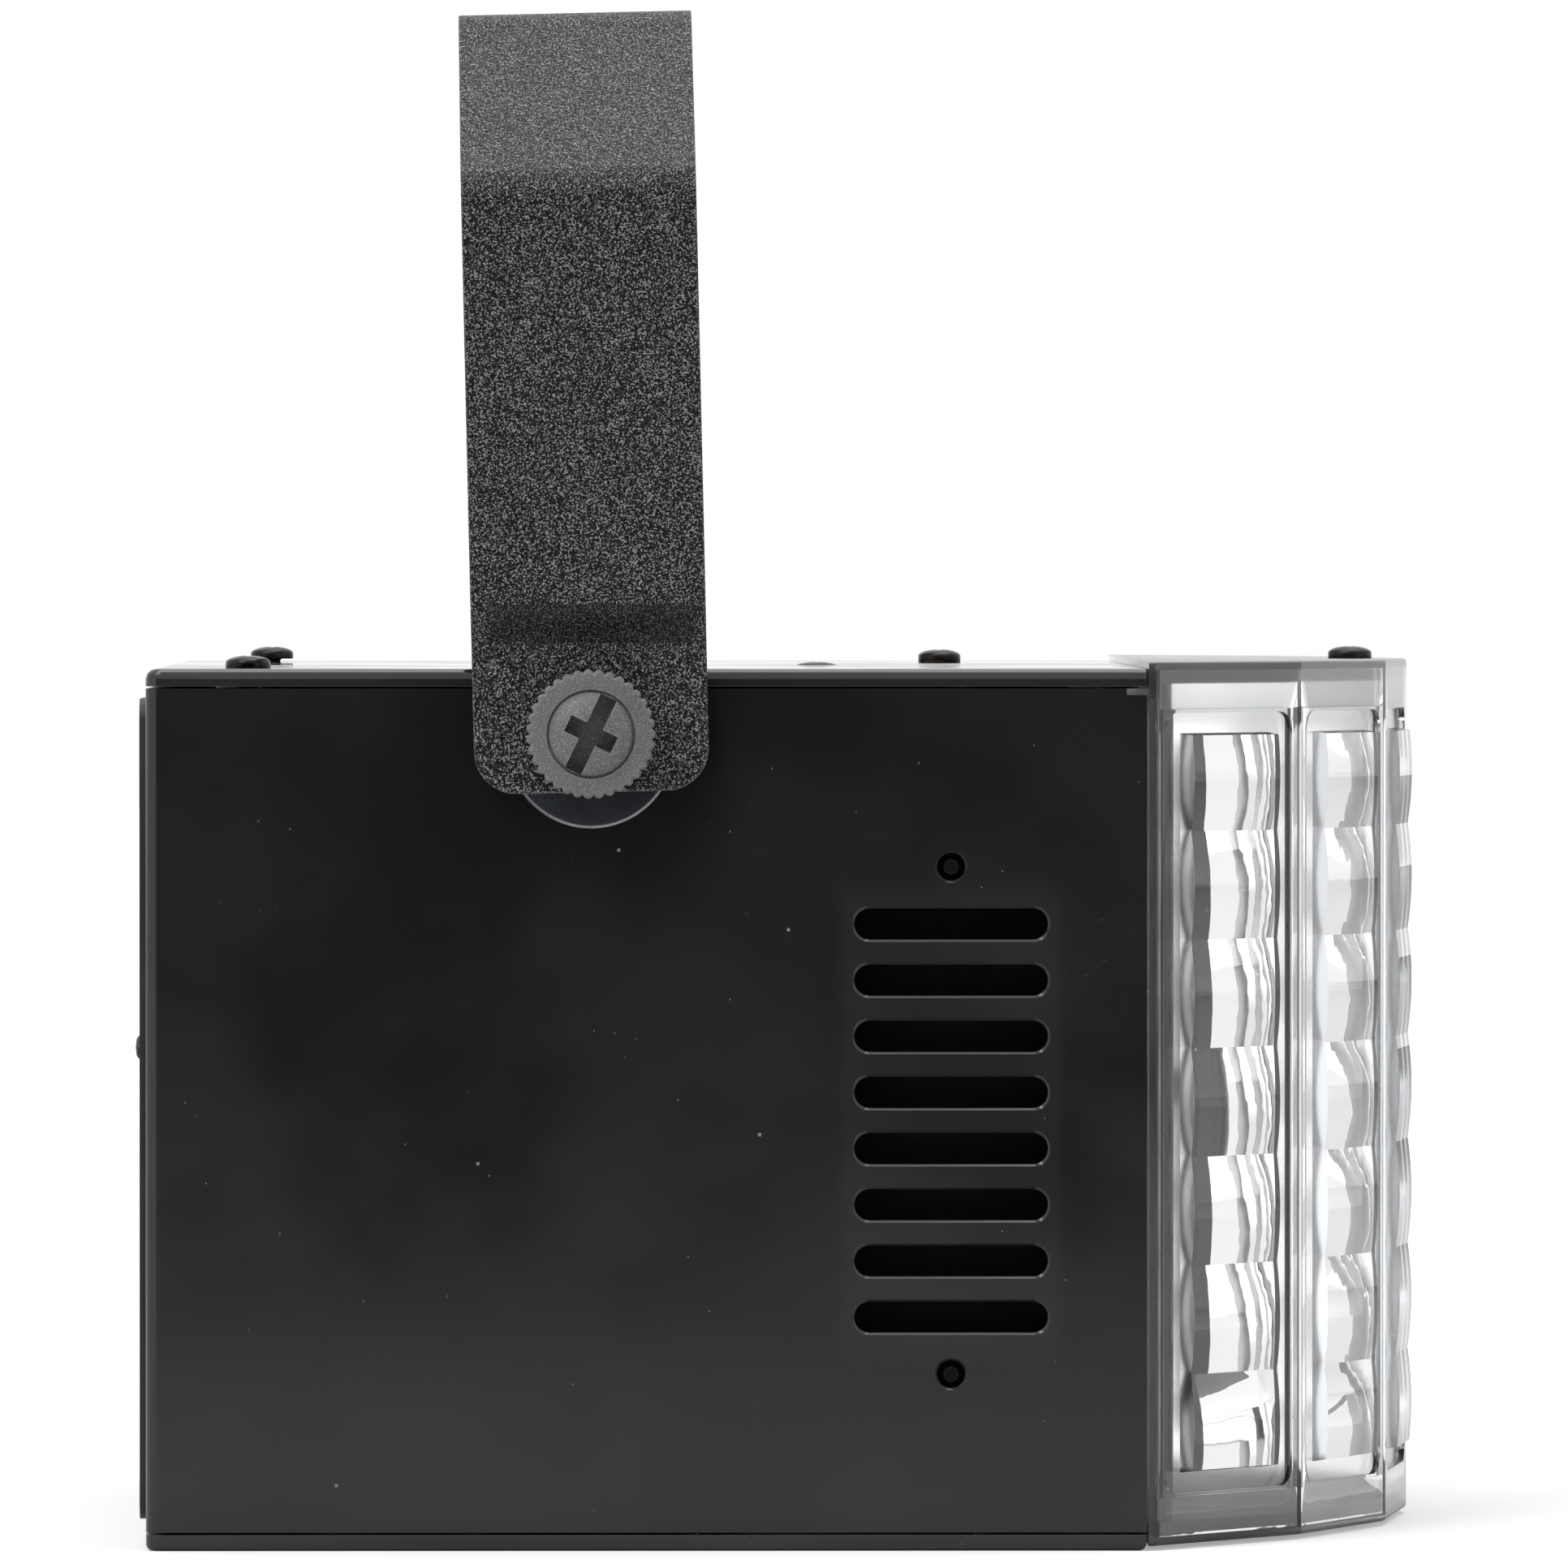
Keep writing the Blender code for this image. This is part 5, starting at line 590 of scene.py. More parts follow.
def surface(material, colour, roughness, height, depth, strength=1.0):
    """Join a colour, a roughness and a relief to a material's shader."""
    tree = material.node_tree
    relief = add(tree, "ShaderNodeBump", {"Height": height, "Distance": depth, "Strength": strength})
    for socket, value in (("Base Color", colour), ("Roughness", roughness), ("Normal", relief.outputs[0])):
        tree.links.new(value, shader_inputs(tree)[socket])
    return material


def moulded_plastic(name, colour, gloss, dust_share=0.03, scratch=0.5, peel=0.00001, vent_sheen=0.0):
    """Moulded plastic: cloudy gloss, faint peel, fine scratches, dust, and a painted sheen round the
    vents.
    """
    material, tree, place = new_material(name, gloss)
    cloud = use_effect(tree, "smudges", place, Scale=22.0)
    dust = use_effect(tree, "dust", place, Cells=260.0, Share=dust_share, Size=0.085)
    fine_dust = use_effect(tree, "dust", place, Cells=700.0, Share=dust_share * 0.8, Size=0.10)
    specks = maths(tree, "MAXIMUM", dust, times(tree, fine_dust, 0.5))
    lines = use_effect(tree, "scratches", place, Scale=42.0, Amount=scratch)
    patch = use_effect(tree, "patch", place, Middle_X=VENT_CENTRE_X, Middle_Z=VENT_CENTRE_Z,
                       Half_X=VENT_LENGTH * VENT_SHEEN_SHARE, Half_Z=PEG_REACH)
    body = blend(tree, cloud, colour, scaled(colour, 1.35, 0.001))
    # painted sheen: the colour turns paler in a soft patch round the vents
    body = blend(tree, times(tree, patch, vent_sheen), body, PAINTED_VENT_SHEEN)
    worn = blend(tree, times(tree, lines, 0.05), body, SCRATCH)
    dusty = blend(tree, times(tree, specks, 0.3), worn, DUST)
    dull = plus(tree, ramp(tree, cloud, 0.0, 1.0, gloss, gloss + 0.07), times(tree, specks, 0.4))
    dull = plus(tree, dull, times(tree, lines, 0.25), clamp=True)
    return surface(material, dusty, dull, noise(tree, place, 70.0, 1.0), peel)


def textured_plastic(name, colour, roughness, cells=2200.0, depth=0.00003, glint_lift=0.25, shine=0.5):
    """Plastic or enamel with a fine spark-eroded texture, painted glints on its grain and slightly rubbed
    edges.
    """
    material, tree, place = new_material(name, roughness, Specular_IOR_Level=shine)
    height = use_effect(tree, "grain", place, "Height", Cells=cells)
    glint = use_effect(tree, "grain", place, "Glint", Cells=cells)
    cloud = use_effect(tree, "smudges", place, Scale=30.0)
    edge = use_effect(tree, "edges", Radius=0.0004)
    body = blend(tree, cloud, colour, scaled(colour, 1.5, 0.004))
    # painted glints: the grain's glint mask lightens the colour in spots
    body = blend(tree, glint, body, scaled(colour, 1 + glint_lift))
    rubbed = blend(tree, times(tree, edge, 0.35), body, scaled(colour, 3, 0.02))
    dull = ramp(tree, cloud, 0.0, 1.0, roughness - 0.05, roughness + 0.08)
    return surface(material, rubbed, dull, height, depth)


def powder_coat(name):
    """Black powder coat with painted glints on its grains, painted shade on the jog, where the glints are
    dimmed, and worn pale along its edges.
    """
    material, tree, place = new_material(name, 0.40, Specular_IOR_Level=0.2)
    height = use_effect(tree, "grain", place, "Height", Cells=2000.0)
    glint = use_effect(tree, "grain", place, "Glint", Cells=2000.0)
    # painted shade on the jog: the glints are dimmed in a soft patch there, so the bend reads darker
    jog_shade = use_effect(tree, "patch", place, Middle_X=PIVOT.x, Half_X=YOKE_JOG_SHADE_HALF_WIDTH,
                     Middle_Z=PIVOT.z + (YOKE_JOG_START + YOKE_JOG_END) / 2,
                     Half_Z=YOKE_JOG_SHADE_HALF_HEIGHT)
    glint = times(tree, glint, maths(tree, "SUBTRACT", 1.0, times(tree, jog_shade, 0.6)))
    edge = use_effect(tree, "edges", Radius=0.0003)
    # painted glints: the colour runs from near black to grey with the grain's glint mask
    body = blend(tree, glint, (0.001, 0.0012, 0.0014), (0.27, 0.285, 0.28))
    rubbed = blend(tree, times(tree, edge, 0.5), body, (0.22, 0.225, 0.225))
    return surface(material, rubbed, ramp(tree, glint, 0.0, 1.0, 0.46, 0.30), height, 0.00014)


def clear_plastic(name, colour, index, roughness, haze, frost=0.0):
    """Clear moulded plastic with faint ripples, scuffs and specks, frosted where it isn't polished."""
    material, tree, place = new_material(name, roughness, Transmission_Weight=1.0, IOR=index)
    polish = add(tree, "ShaderNodeAttribute", attribute_name="polish").outputs["Fac"]
    unpolished = maths(tree, "SUBTRACT", 1.0, polish, clamp=True)
    cloud = use_effect(tree, "smudges", place, Scale=35.0)
    lines = use_effect(tree, "scratches", place, Scale=40.0, Amount=0.6)
    dust = use_effect(tree, "dust", place, Cells=320.0, Share=0.03, Size=0.08)
    clean = blend(tree, cloud, colour, scaled(colour, 0.97))
    milky = blend(tree, times(tree, unpolished, min(1.0, frost * 5)), clean, FROST)
    scuffs = plus(tree, times(tree, lines, 0.25), times(tree, dust, 0.4))
    dull = plus(tree, ramp(tree, cloud, 0.35, 1.0, roughness, roughness + haze),
                times(tree, unpolished, frost))
    return surface(material, milky, plus(tree, dull, scuffs, clamp=True),
                   noise(tree, place, 160.0, 2.0), 0.000012, 0.6)


def clear_film(name):
    """Thin clear washer: nearly unseen on its flats, with a painted highlight along its rims, and a few
    scuffs.
    """
    material, tree, place = new_material(name, 0.12)
    edge = use_effect(tree, "edges", Radius=0.0005)
    cloud = use_effect(tree, "smudges", place, Scale=60.0)
    lines = use_effect(tree, "scratches", place, Scale=50.0, Amount=0.6)
    body = blend(tree, cloud, (0.17, 0.19, 0.23), (0.24, 0.26, 0.30))
    shader = shader_inputs(tree)
    # painted highlight: along the edge mask the rims turn pale and more opaque
    tree.links.new(blend(tree, edge, body, (0.75, 0.76, 0.76)), shader["Base Color"])
    tree.links.new(ramp(tree, cloud, 0.0, 1.0, 0.1, 0.2), shader["Roughness"])
    seen = plus(tree, times(tree, edge, 0.8), ramp(tree, cloud, 0.0, 1.0, 0.05, 0.1))
    tree.links.new(plus(tree, seen, times(tree, lines, 0.1), clamp=True), shader["Alpha"])
    return material


def bare_metal(name, colour, roughness, stretch=(1.0, 30.0, 30.0)):
    """Bare metal drawn along one direction, with small stains."""
    material, tree, place = new_material(name, roughness, 1.0)
    streaks = noise(tree, stretch_place(tree, place, Scale=stretch), 90.0, 3.0, 0.6)
    cloud = use_effect(tree, "smudges", place, Scale=60.0)
    dull = plus(tree, ramp(tree, streaks, 0.2, 0.8, roughness - 0.08, roughness + 0.08),
                times(tree, cloud, 0.08))
    return surface(material, blend(tree, streaks, colour, scaled(colour, 0.8)), dull, streaks, 0.00001)


def black_screw_metal(name):
    """Blackened steel that turns a warm brown in patches along its edges."""
    material, tree, place = new_material(name, 0.25, 0.7)
    edge = use_effect(tree, "edges", Radius=0.0003)
    cloud = use_effect(tree, "smudges", place, Scale=420.0)
    body = blend(tree, cloud, (0.008, 0.008, 0.009), (0.026, 0.023, 0.022))
    # warm brown in patches along the edges
    brown_edges = times(tree, edge, ramp(tree, cloud, 0.35, 0.8, 0.0, 0.7))
    return surface(material, blend(tree, brown_edges, body, (0.26, 0.13, 0.07)),
                   ramp(tree, cloud, 0.0, 1.0, 0.2, 0.38), noise(tree, place, 1500.0, 2.0), 0.00001)


def circuit_board(name, colour, copper, pads):
    """Solder-masked board: raised tracks under the mask and tinned pads."""
    material, tree, place = new_material(name, 0.35)
    grid = add(tree, "ShaderNodeTexBrick",
               {"Vector": place, "Color1": (0, 0, 0, 1), "Color2": (0.35, 0.35, 0.35, 1),
                "Mortar": (1, 1, 1, 1), "Scale": 240.0, "Mortar Size": 0.06, "Bias": 0.0}).outputs["Color"]
    tracks = times(tree, add(tree, "ShaderNodeSeparateColor", {0: grid}).outputs[0],
                   ramp(tree, noise(tree, place, 90.0, 1.0), 0.45, 0.55))
    tinned = use_effect(tree, "dust", place, Cells=330.0, Share=pads, Size=0.22)
    cloud = use_effect(tree, "smudges", place, Scale=40.0)
    traced = blend(tree, tracks, blend(tree, cloud, colour, scaled(colour, 0.85)), copper)
    tree.links.new(tinned, shader_inputs(tree)["Metallic"])
    return surface(material, blend(tree, tinned, traced, TIN),
                   ramp(tree, cloud, 0.0, 1.0, 0.28, 0.42), plus(tree, tracks, tinned), 0.00006)


def layered_core(name):
    """Transformer core of thin laminations, with its coil wound in yellowed tape."""
    material, tree, place = new_material(name, 0.45)
    sheets = maths(tree, "SINE", times(tree, separate(tree, place)["Y"], 9000.0))
    cloud = use_effect(tree, "smudges", place, Scale=80.0)
    body = blend(tree, cloud, (0.16, 0.10, 0.035), (0.23, 0.15, 0.05))
    body = blend(tree, ramp(tree, sheets, 0.6, 1.0, 0.0, 0.5), body, (0.03, 0.025, 0.02))
    return surface(material, body, ramp(tree, cloud, 0.0, 1.0, 0.35, 0.55), sheets, 0.00005)


def shrink_sleeve(name, colour):
    """Heat-shrunk sleeve with fine upright drawing lines and a dull patchy sheen."""
    material, tree, place = new_material(name, 0.3)
    lines = noise(tree, stretch_place(tree, place, Scale=(25.0, 25.0, 1.0)), 60.0, 2.0)
    cloud = use_effect(tree, "smudges", place, Scale=90.0)
    return surface(material, blend(tree, cloud, colour, scaled(colour, 1.4)),
                   ramp(tree, lines, 0.2, 0.8, 0.22, 0.42), lines, 0.00003)


FINISH = {
    # the housing takes 0.14 of the painted sheen round its vents
    "housing": moulded_plastic("gloss_black_plastic", (0.0088, 0.0092, 0.0092), 0.12, 0.05, vent_sheen=0.14),
    "lid": moulded_plastic("lid_black_plastic", (0.016, 0.0165, 0.018), 0.03, 0.04, 0.3, 0.000002),
    "matt": textured_plastic("matt_black_plastic", (0.009, 0.009, 0.010), 0.5),
    # the baffle's colour is darker than the other black plastic: painted shade for the inside of the vents
    "baffle": textured_plastic("baffle_painted_shade_plastic", (0.0012, 0.0012, 0.0013), 0.8, shine=0.12),
    "button": textured_plastic("button_plastic", (0.016, 0.016, 0.017), 0.4, 3500.0, 0.00001),
    "panel": textured_plastic("rear_panel_enamel", (0.014, 0.014, 0.015), 0.42, 3200.0, 0.00003),
    "cover": clear_plastic("clear_cover_plastic", (1.0, 1.0, 1.0), 1.45, 0.001, 0.002, frost=0.2),
    "washer": clear_film("washer_plastic"),
    "lens": clear_plastic("condenser_plastic", (0.96, 0.965, 0.97), 1.49, 0.01, 0.02),
    "yoke": powder_coat("yoke_powder_coat"),
    "knob": textured_plastic("knob_plastic", (0.088, 0.09, 0.088), 0.5, 1900.0, 0.00005, 1.5),
    "screw": black_screw_metal("black_screw_steel"),
    "steel": bare_metal("drawn_steel", (0.52, 0.52, 0.51), 0.32),
    "aluminium": bare_metal("extruded_aluminium", (0.68, 0.68, 0.69), 0.38, (30.0, 30.0, 1.0)),
    "green_board": circuit_board("green_board", (0.02, 0.09, 0.035), (0.03, 0.14, 0.05), 0.12),
    "white_board": circuit_board("white_board", (0.74, 0.74, 0.72), (0.66, 0.67, 0.66), 0.05),
    "core": layered_core("transformer_core"),
    "sleeve": shrink_sleeve("capacitor_sleeve", (0.025, 0.05, 0.19)),
    "lead": shrink_sleeve("lead_sheath", (0.035, 0.035, 0.037)),
    "display": moulded_plastic("display_filter", (0.028, 0.003, 0.003), 0.08, 0.02, 0.2),
}


# Housing

def post_places():
    """Where each lid screw stands, with the side that it is on."""
    for index in (1, 2, 3, 4):
        centre = middle(f"lid_screw_{index}")
        yield centre.x, centre.y, math.copysign(1, centre.y)


def rear_screw_places():
    for index in (1, 2, 3, 4):
        centre = middle(f"rear_plate_screw_{index}")
        yield centre.y, centre.z


def vent_slot(bm, side, z):
    """Add one round-ended slot through a side wall, and the flare that bevels its mouth."""
    start = Vector((VENT_CENTRE_X - VENT_LENGTH / 2, 0.0, z - VENT_HEIGHT / 2))
    end = Vector((VENT_CENTRE_X + VENT_LENGTH / 2, 0.0, z + VENT_HEIGHT / 2))
    radius = VENT_HEIGHT * ROUND_END
    start.y, end.y = sorted((side * (INNER_Y - WALL), side * (SIDE_Y + WALL)))
    rounded_block(bm, start, end, 1, radius, VENT_ROUND_STEPS)
    slot = set(bm.verts)
    start.y, end.y = sorted((side * (SIDE_Y - 2 * VENT_LIP), side * (SIDE_Y + VENT_LIP)))
    rounded_block(bm, start, end, 1, radius, VENT_ROUND_STEPS)
    centre = (start + end) / 2
    for vert in new_verts(bm, slot):
        widen = 2 * VENT_LIP if abs(vert.co.y) > SIDE_Y else -VENT_LIP
        vert.co.x = centre.x + (vert.co.x - centre.x) * (1 + 2 * widen / VENT_LENGTH)
        vert.co.z = centre.z + (vert.co.z - centre.z) * (1 + 2 * widen / VENT_HEIGHT)


def bare_walls():
    """The side walls and the rear wall, open to the front, the top and the underside."""
    bm = bmesh.new()
    verts = block(bm, (REAR_X, -SIDE_Y, SHELL_LOW.z), (FRONT_X, SIDE_Y, SHELL_HIGH.z))
    rear_edges = [edge for edge in edges_along(verts, 2) if edge.verts[0].co.x < 0]
    round_off(bm, rear_edges, REAR_CORNER_RADIUS, REAR_CORNER_STEPS)
    bm.normal_update()
    openings = [face for face in bm.faces if abs(face.normal.z) > 0.9 or face.normal.x > 0.9]
    bmesh.ops.delete(bm, geom=openings, context="FACES_ONLY")
    return thicken(new_object("housing_shell_finished", bm), WALL, -1.0)


def build_shell():
    """Side walls and rear wall in one shell, with round-ended vents and peg holes."""
    shell = bare_walls()
    boss_x = REAR_X + WALL
    post_high = LID_LOW.z - PART_GAP
    length = VENT_CENTRE_Z - PEG_REACH - BAFFLE_MARGIN - POST_CLEARANCE - POST_LOW
    posts = ((POST_LOW, POST_LOW + length), (post_high - length, post_high))
    bm = bmesh.new()
    for x, y, side in post_places():
        near, far = sorted((side * (INNER_Y + EMBED), y - side * POST_WIDTH / 2))
        for low, high in posts:
            block(bm, (x - POST_WIDTH / 2, near, low), (x + POST_WIDTH / 2, far, high))
    for y, z in rear_screw_places():
        rod(bm, (boss_x - EMBED, y, z), (boss_x - EMBED + BOSS_LENGTH, y, z), BOSS_RADIUS)
    combine(shell, bm, "UNION")

    bm = bmesh.new()
    for x, y, _ in post_places():
        for low, high in reversed(posts):
            rod(bm, (x, y, low - PART_GAP), (x, y, high + PART_GAP), SCREW_HOLE_RADIUS)
    for y, z in rear_screw_places():
        rod(bm, (REAR_X - PART_GAP, y, z), (boss_x + BOSS_LENGTH, y, z), SCREW_HOLE_RADIUS)
    reach = PLATE_HIGH.y + PART_GAP
    rounded_block(bm, (REAR_X - WALL, -reach, PLATE_LOW.z - PART_GAP),
                  (PLATE_BACK_X + PART_GAP, reach, PLATE_HIGH.z + PART_GAP), 0, REAR_PLATE_CORNER)
    combine(shell, bm, crossing=True)

    bm = bmesh.new()
    reach = PLATE_HIGH.y - REAR_OPENING_MARGIN
    rounded_block(bm, (REAR_X - 2 * WALL, -reach, PLATE_LOW.z + REAR_OPENING_MARGIN),
                  (REAR_X + 2 * WALL, reach, PLATE_HIGH.z - REAR_OPENING_MARGIN), 0, REAR_PLATE_CORNER)
    for side in (-1, 1):
        within = side * (INNER_Y - WALL)
        beyond = side * (SIDE_Y + WALL)
        rod(bm, (PIVOT.x, within, PIVOT.z), (PIVOT.x, beyond, PIVOT.z), SHANK_RADIUS + PART_GAP)
        for z in (VENT_CENTRE_Z - PEG_REACH, VENT_CENTRE_Z + PEG_REACH):
            rod(bm, (VENT_CENTRE_X, within, z), (VENT_CENTRE_X, beyond, z), PEG_HOLE_RADIUS)
            rod(bm, (VENT_CENTRE_X, side * (SIDE_Y - VENT_LIP), z),
                (VENT_CENTRE_X, side * (SIDE_Y + VENT_LIP), z), PEG_HOLE_RADIUS,
                end_radius=PEG_HOLE_RADIUS + 2 * VENT_LIP)
        near, far = sorted((within, beyond))
        block(bm, (FRONT_X - SEAM_NOTCH_LENGTH, near, SHELL_HIGH.z - SEAM_NOTCH_DEPTH),
              (FRONT_X + WALL, far, SHELL_HIGH.z + WALL))
        for index in range(VENT_COUNT):
            vent_slot(bm, side, VENT_CENTRE_Z + (index - (VENT_COUNT - 1) / 2) * VENT_PITCH)
    combine(shell, bm, crossing=True)
    soften(shell, MOULD_EDGE, 2)
    dress(shell, "housing_shell", "housing")


# Screws

def cross_recess(bm, centre, normal, depth):
    """Add the two tapered bars of a cross recess, sunk from a point along the normal."""
    turn = normal.to_track_quat("Z", "Y").to_matrix().to_4x4()
    for extra in (0.0, math.pi / 2):
        known = set(bm.verts)
        matrix = (Matrix.Translation(centre) @ turn @ Matrix.Rotation(extra, 4, "Z")
                  @ Matrix.Diagonal((RECESS_LENGTH, RECESS_WIDTH, 2 * depth, 1.0)))
        bmesh.ops.create_cube(bm, size=1.0, matrix=matrix)
        for vert in new_verts(bm, known):
            offset = vert.co - centre
            along = normal * offset.dot(normal)
            if offset.dot(normal) < 0:
                vert.co = centre + along + (offset - along) * RECESS_TAPER


def build_screw(node, axis, lift=1.0):
    """A domed cross-head screw in the place of its node; the lift scales the height of the head."""
    axis = Vector(axis)
    low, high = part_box(node)
    along = max(range(3), key=lambda index: abs(axis[index]))
    height = SCREW_HEAD_HEIGHT * lift
    place = middle(node)
    place[along] = (high if axis[along] > 0 else low)[along] - axis[along] * height
    length = (high[along] - low[along]) - height - SCREW_THREAD_RADIUS
    rim = height * SCREW_RIM_SHARE
    profile = dome(SCREW_HEAD_RADIUS, rim, height - rim)
    profile += [(SCREW_HEAD_RADIUS, SCREW_SEAT), (SCREW_THREAD_RADIUS, SCREW_SEAT)]
    turns = max(2, round(length / THREAD_PITCH))
    for index in range(turns):
        top = min(SCREW_SEAT, -length * index / turns)
        profile += [(SCREW_THREAD_RADIUS * THREAD_ROOT_SHARE, top - length / turns * 0.4),
                    (SCREW_THREAD_RADIUS, top - length / turns * 0.9)]
    profile.append((0.0, -length - SCREW_THREAD_RADIUS))
    bm = bmesh.new()
    turned(bm, profile, place, axis)
    screw = new_object(node + "_finished", bm)
    bm = bmesh.new()
    cross_recess(bm, place + axis * height, axis, min(RECESS_DEPTH, 0.8 * height))
    combine(screw, bm, crossing=True)
    soften(screw, SCREW_EDGE, 2)
    dress(screw, node, "screw", "wheel" if node == "wheel_screw" else "housing")


def build_screws():
    for index in (1, 2, 3, 4):
        build_screw(f"lid_screw_{index}", (0, 0, 1))
        build_screw(f"floor_screw_{index}", (0, 0, -1))
        dress_node(f"rear_plate_screw_{index}", SCREW_EDGE, "screw")
    build_screw("lid_screw_low", (0, 0, 1), lift=0.7)
    build_screw("cover_screw", (0, 0, 1))
    build_screw("wheel_screw", (1, 0, 0))


# Lens cover

def facet_turns():
    """Heading of each facet's outward normal from +X, from the near side to the far side."""
    return [FACET_TURN * (index - (FACET_COUNT - 1) / 2) for index in range(FACET_COUNT)]


def facet_width():
    """Width that lets the facets span the housing from side to side."""
    return 2 * SIDE_Y / sum(math.cos(turn) for turn in facet_turns())


def bow_corners(inset):
    """Plan corners of the bow from the near side to the far side, moved in by an even inset."""
    normals = [Vector((math.cos(turn), math.sin(turn), 0.0)) for turn in facet_turns()]
    normals = [Vector((0.0, -1.0, 0.0))] + normals + [Vector((0.0, 1.0, 0.0))]
    corner = Vector((COVER_REAR_X + COVER_RIM, -SIDE_Y, 0.0))
    corners = []
    for before, after in zip(normals, normals[1:]):
        corners.append(corner - (before + after) * inset / (1 + before.dot(after)))
        corner = corner + Vector((-after.y, after.x, 0.0)) * facet_width()
    return corners


def bow_outline(inset, rear_x):
    """Plan of the bow, moved in by an even inset and cut off at a plane behind its facets."""
    corners = bow_corners(inset)
    share = (rear_x - corners[0].x) / (corners[1].x - corners[0].x)
    start = corners[0].lerp(corners[1], share)
    return [start] + corners[1:-1] + [Vector((start.x, -start.y, 0.0))]


def facet_matrices():
    """Each facet's own frame: X across it, Y up, Z out of its face, from its middle."""
    corners = bow_corners(0.0)
    for turn, start, end in zip(facet_turns(), corners, corners[1:]):
        centre = (start + end) / 2
        centre.z = COVER_MIDDLE_Z
        across = Matrix(((-math.sin(turn), 0.0, math.cos(turn)),
                         (math.cos(turn), 0.0, math.sin(turn)),
                         (0.0, 1.0, 0.0)))
        yield Matrix.Translation(centre) @ across.to_4x4()


def plate_from_outline(bm, points, low, high):
    """Add a flat plate with the given plan, between two heights."""
    base = bm.faces.new([bm.verts.new((point.x, point.y, low)) for point in points])
    raised = bmesh.ops.extrude_face_region(bm, geom=[base])["geom"]
    bmesh.ops.translate(bm, verts=only(raised, bmesh.types.BMVert), vec=(0.0, 0.0, high - low))
    bmesh.ops.recalc_face_normals(bm, faces=bm.faces)


def window_half():
    """Half the width and half the height of the window in a facet."""
    return (facet_width() / 2 - WINDOW_SIDE_MARGIN,
            (COVER_TOP - COVER_BOTTOM) / 2 - WINDOW_END_MARGIN)


def lens_width():
    """Width of the column of lenses, which fills the window but for a ledge on each side."""
    return facet_width() - 2 * (WINDOW_SIDE_MARGIN + PANE_LEDGE)


def row_edge(index):
    """Height of a boundary between two rows of lenses; the end rows are cut shorter."""
    limit = window_half()[1] - PANE_END_LEDGE
    return max(-limit, min(limit, (index - LENS_ROWS / 2) * LENS_ROW_PITCH))


def lens_row_height(share):
    """Height on the pane of a share from -0.5 to 0.5 of its rows."""
    place = (share + 0.5) * LENS_ROWS
    row = min(int(place + 0.001), LENS_ROWS - 1)
    return row_edge(row) + (row_edge(row + 1) - row_edge(row)) * (place - row)


def lens_height(up):
    """Height of the lens surface over the facet's face, from how high on the pane it is."""
    central = (LENS_ROWS - 1) / 2
    row = max(0, min(LENS_ROWS - 1, round(up / LENS_ROW_PITCH + central)))
    reach = up - (row - central) * LENS_ROW_PITCH
    return max(-PANEL_FLOOR, LENS_RISE - reach ** 2 / (2 * LENS_CURVE_RADIUS))


def lens_panel(bm, matrix):
    """Add one facet's pane: a column of raised lenses on a flat ledge, with a flat back."""
    known = set(bm.verts)
    bmesh.ops.create_grid(bm, x_segments=1, y_segments=LENS_ROWS * LENS_STEPS, size=0.5)
    grid = set(bm.verts) - known
    edges = [edge for edge in bm.edges if edge.is_boundary and edge.verts[0] in grid]
    foot = (lens_width() / 2 + LENS_DRAFT, lens_row_height(0.5) + LENS_DRAFT)
    rim = [half + PANEL_OVERLAP for half in window_half()]
    rings = []
    for depth, reach in ((PANEL_FLOOR, foot), (PANEL_FLOOR, rim), (PANEL_BACK, rim)):
        ring = bmesh.ops.extrude_edge_only(bm, edges=edges)["geom"]
        edges = only(ring, bmesh.types.BMEdge)
        rings.append((depth, reach, only(ring, bmesh.types.BMVert)))
    bmesh.ops.edgeloop_fill(bm, edges=edges)
    for depth, reach, group in rings:
        for vert in group:
            place = Vector((vert.co.x * lens_width(), lens_row_height(vert.co.y), -depth))
            if abs(vert.co.x) > 0.499:
                place.x = math.copysign(reach[0], place.x)
            if abs(vert.co.y) > 0.499:
                place.y = math.copysign(reach[1], place.y)
            vert.co = place
    for vert in grid:
        up = lens_row_height(vert.co.y)
        vert.co = Vector((vert.co.x * lens_width(), up, lens_height(up)))
    made = new_verts(bm, known)
    bmesh.ops.transform(bm, matrix=matrix, verts=made)
    bmesh.ops.recalc_face_normals(bm, faces=list({face for vert in made for face in vert.link_faces}))


def mark_polish(cover):
    """Note on each face how far it is polished: panes and their backs fully, ledges less."""
    half_width, half_height = window_half()
    to_facets = [matrix.inverted() for matrix in facet_matrices()]
    polish = cover.data.attributes.new("polish", "FLOAT", "FACE")
    for face, mark in zip(cover.data.polygons, polish.data):
        for matrix in to_facets:
            if abs((matrix.to_3x3() @ face.normal).z) <= 0.8:
                continue
            place = matrix @ face.center
            inside = abs(place.x) < half_width and abs(place.y) < half_height
            if abs(place.z + PANEL_BACK) < EMBED and abs(place.x) < facet_width() / 2:
                mark.value = 1.0
            elif inside and abs(place.z) < PANEL_BACK:
                mark.value = LEDGE_POLISH if abs(place.z + PANEL_FLOOR) < EMBED else 1.0


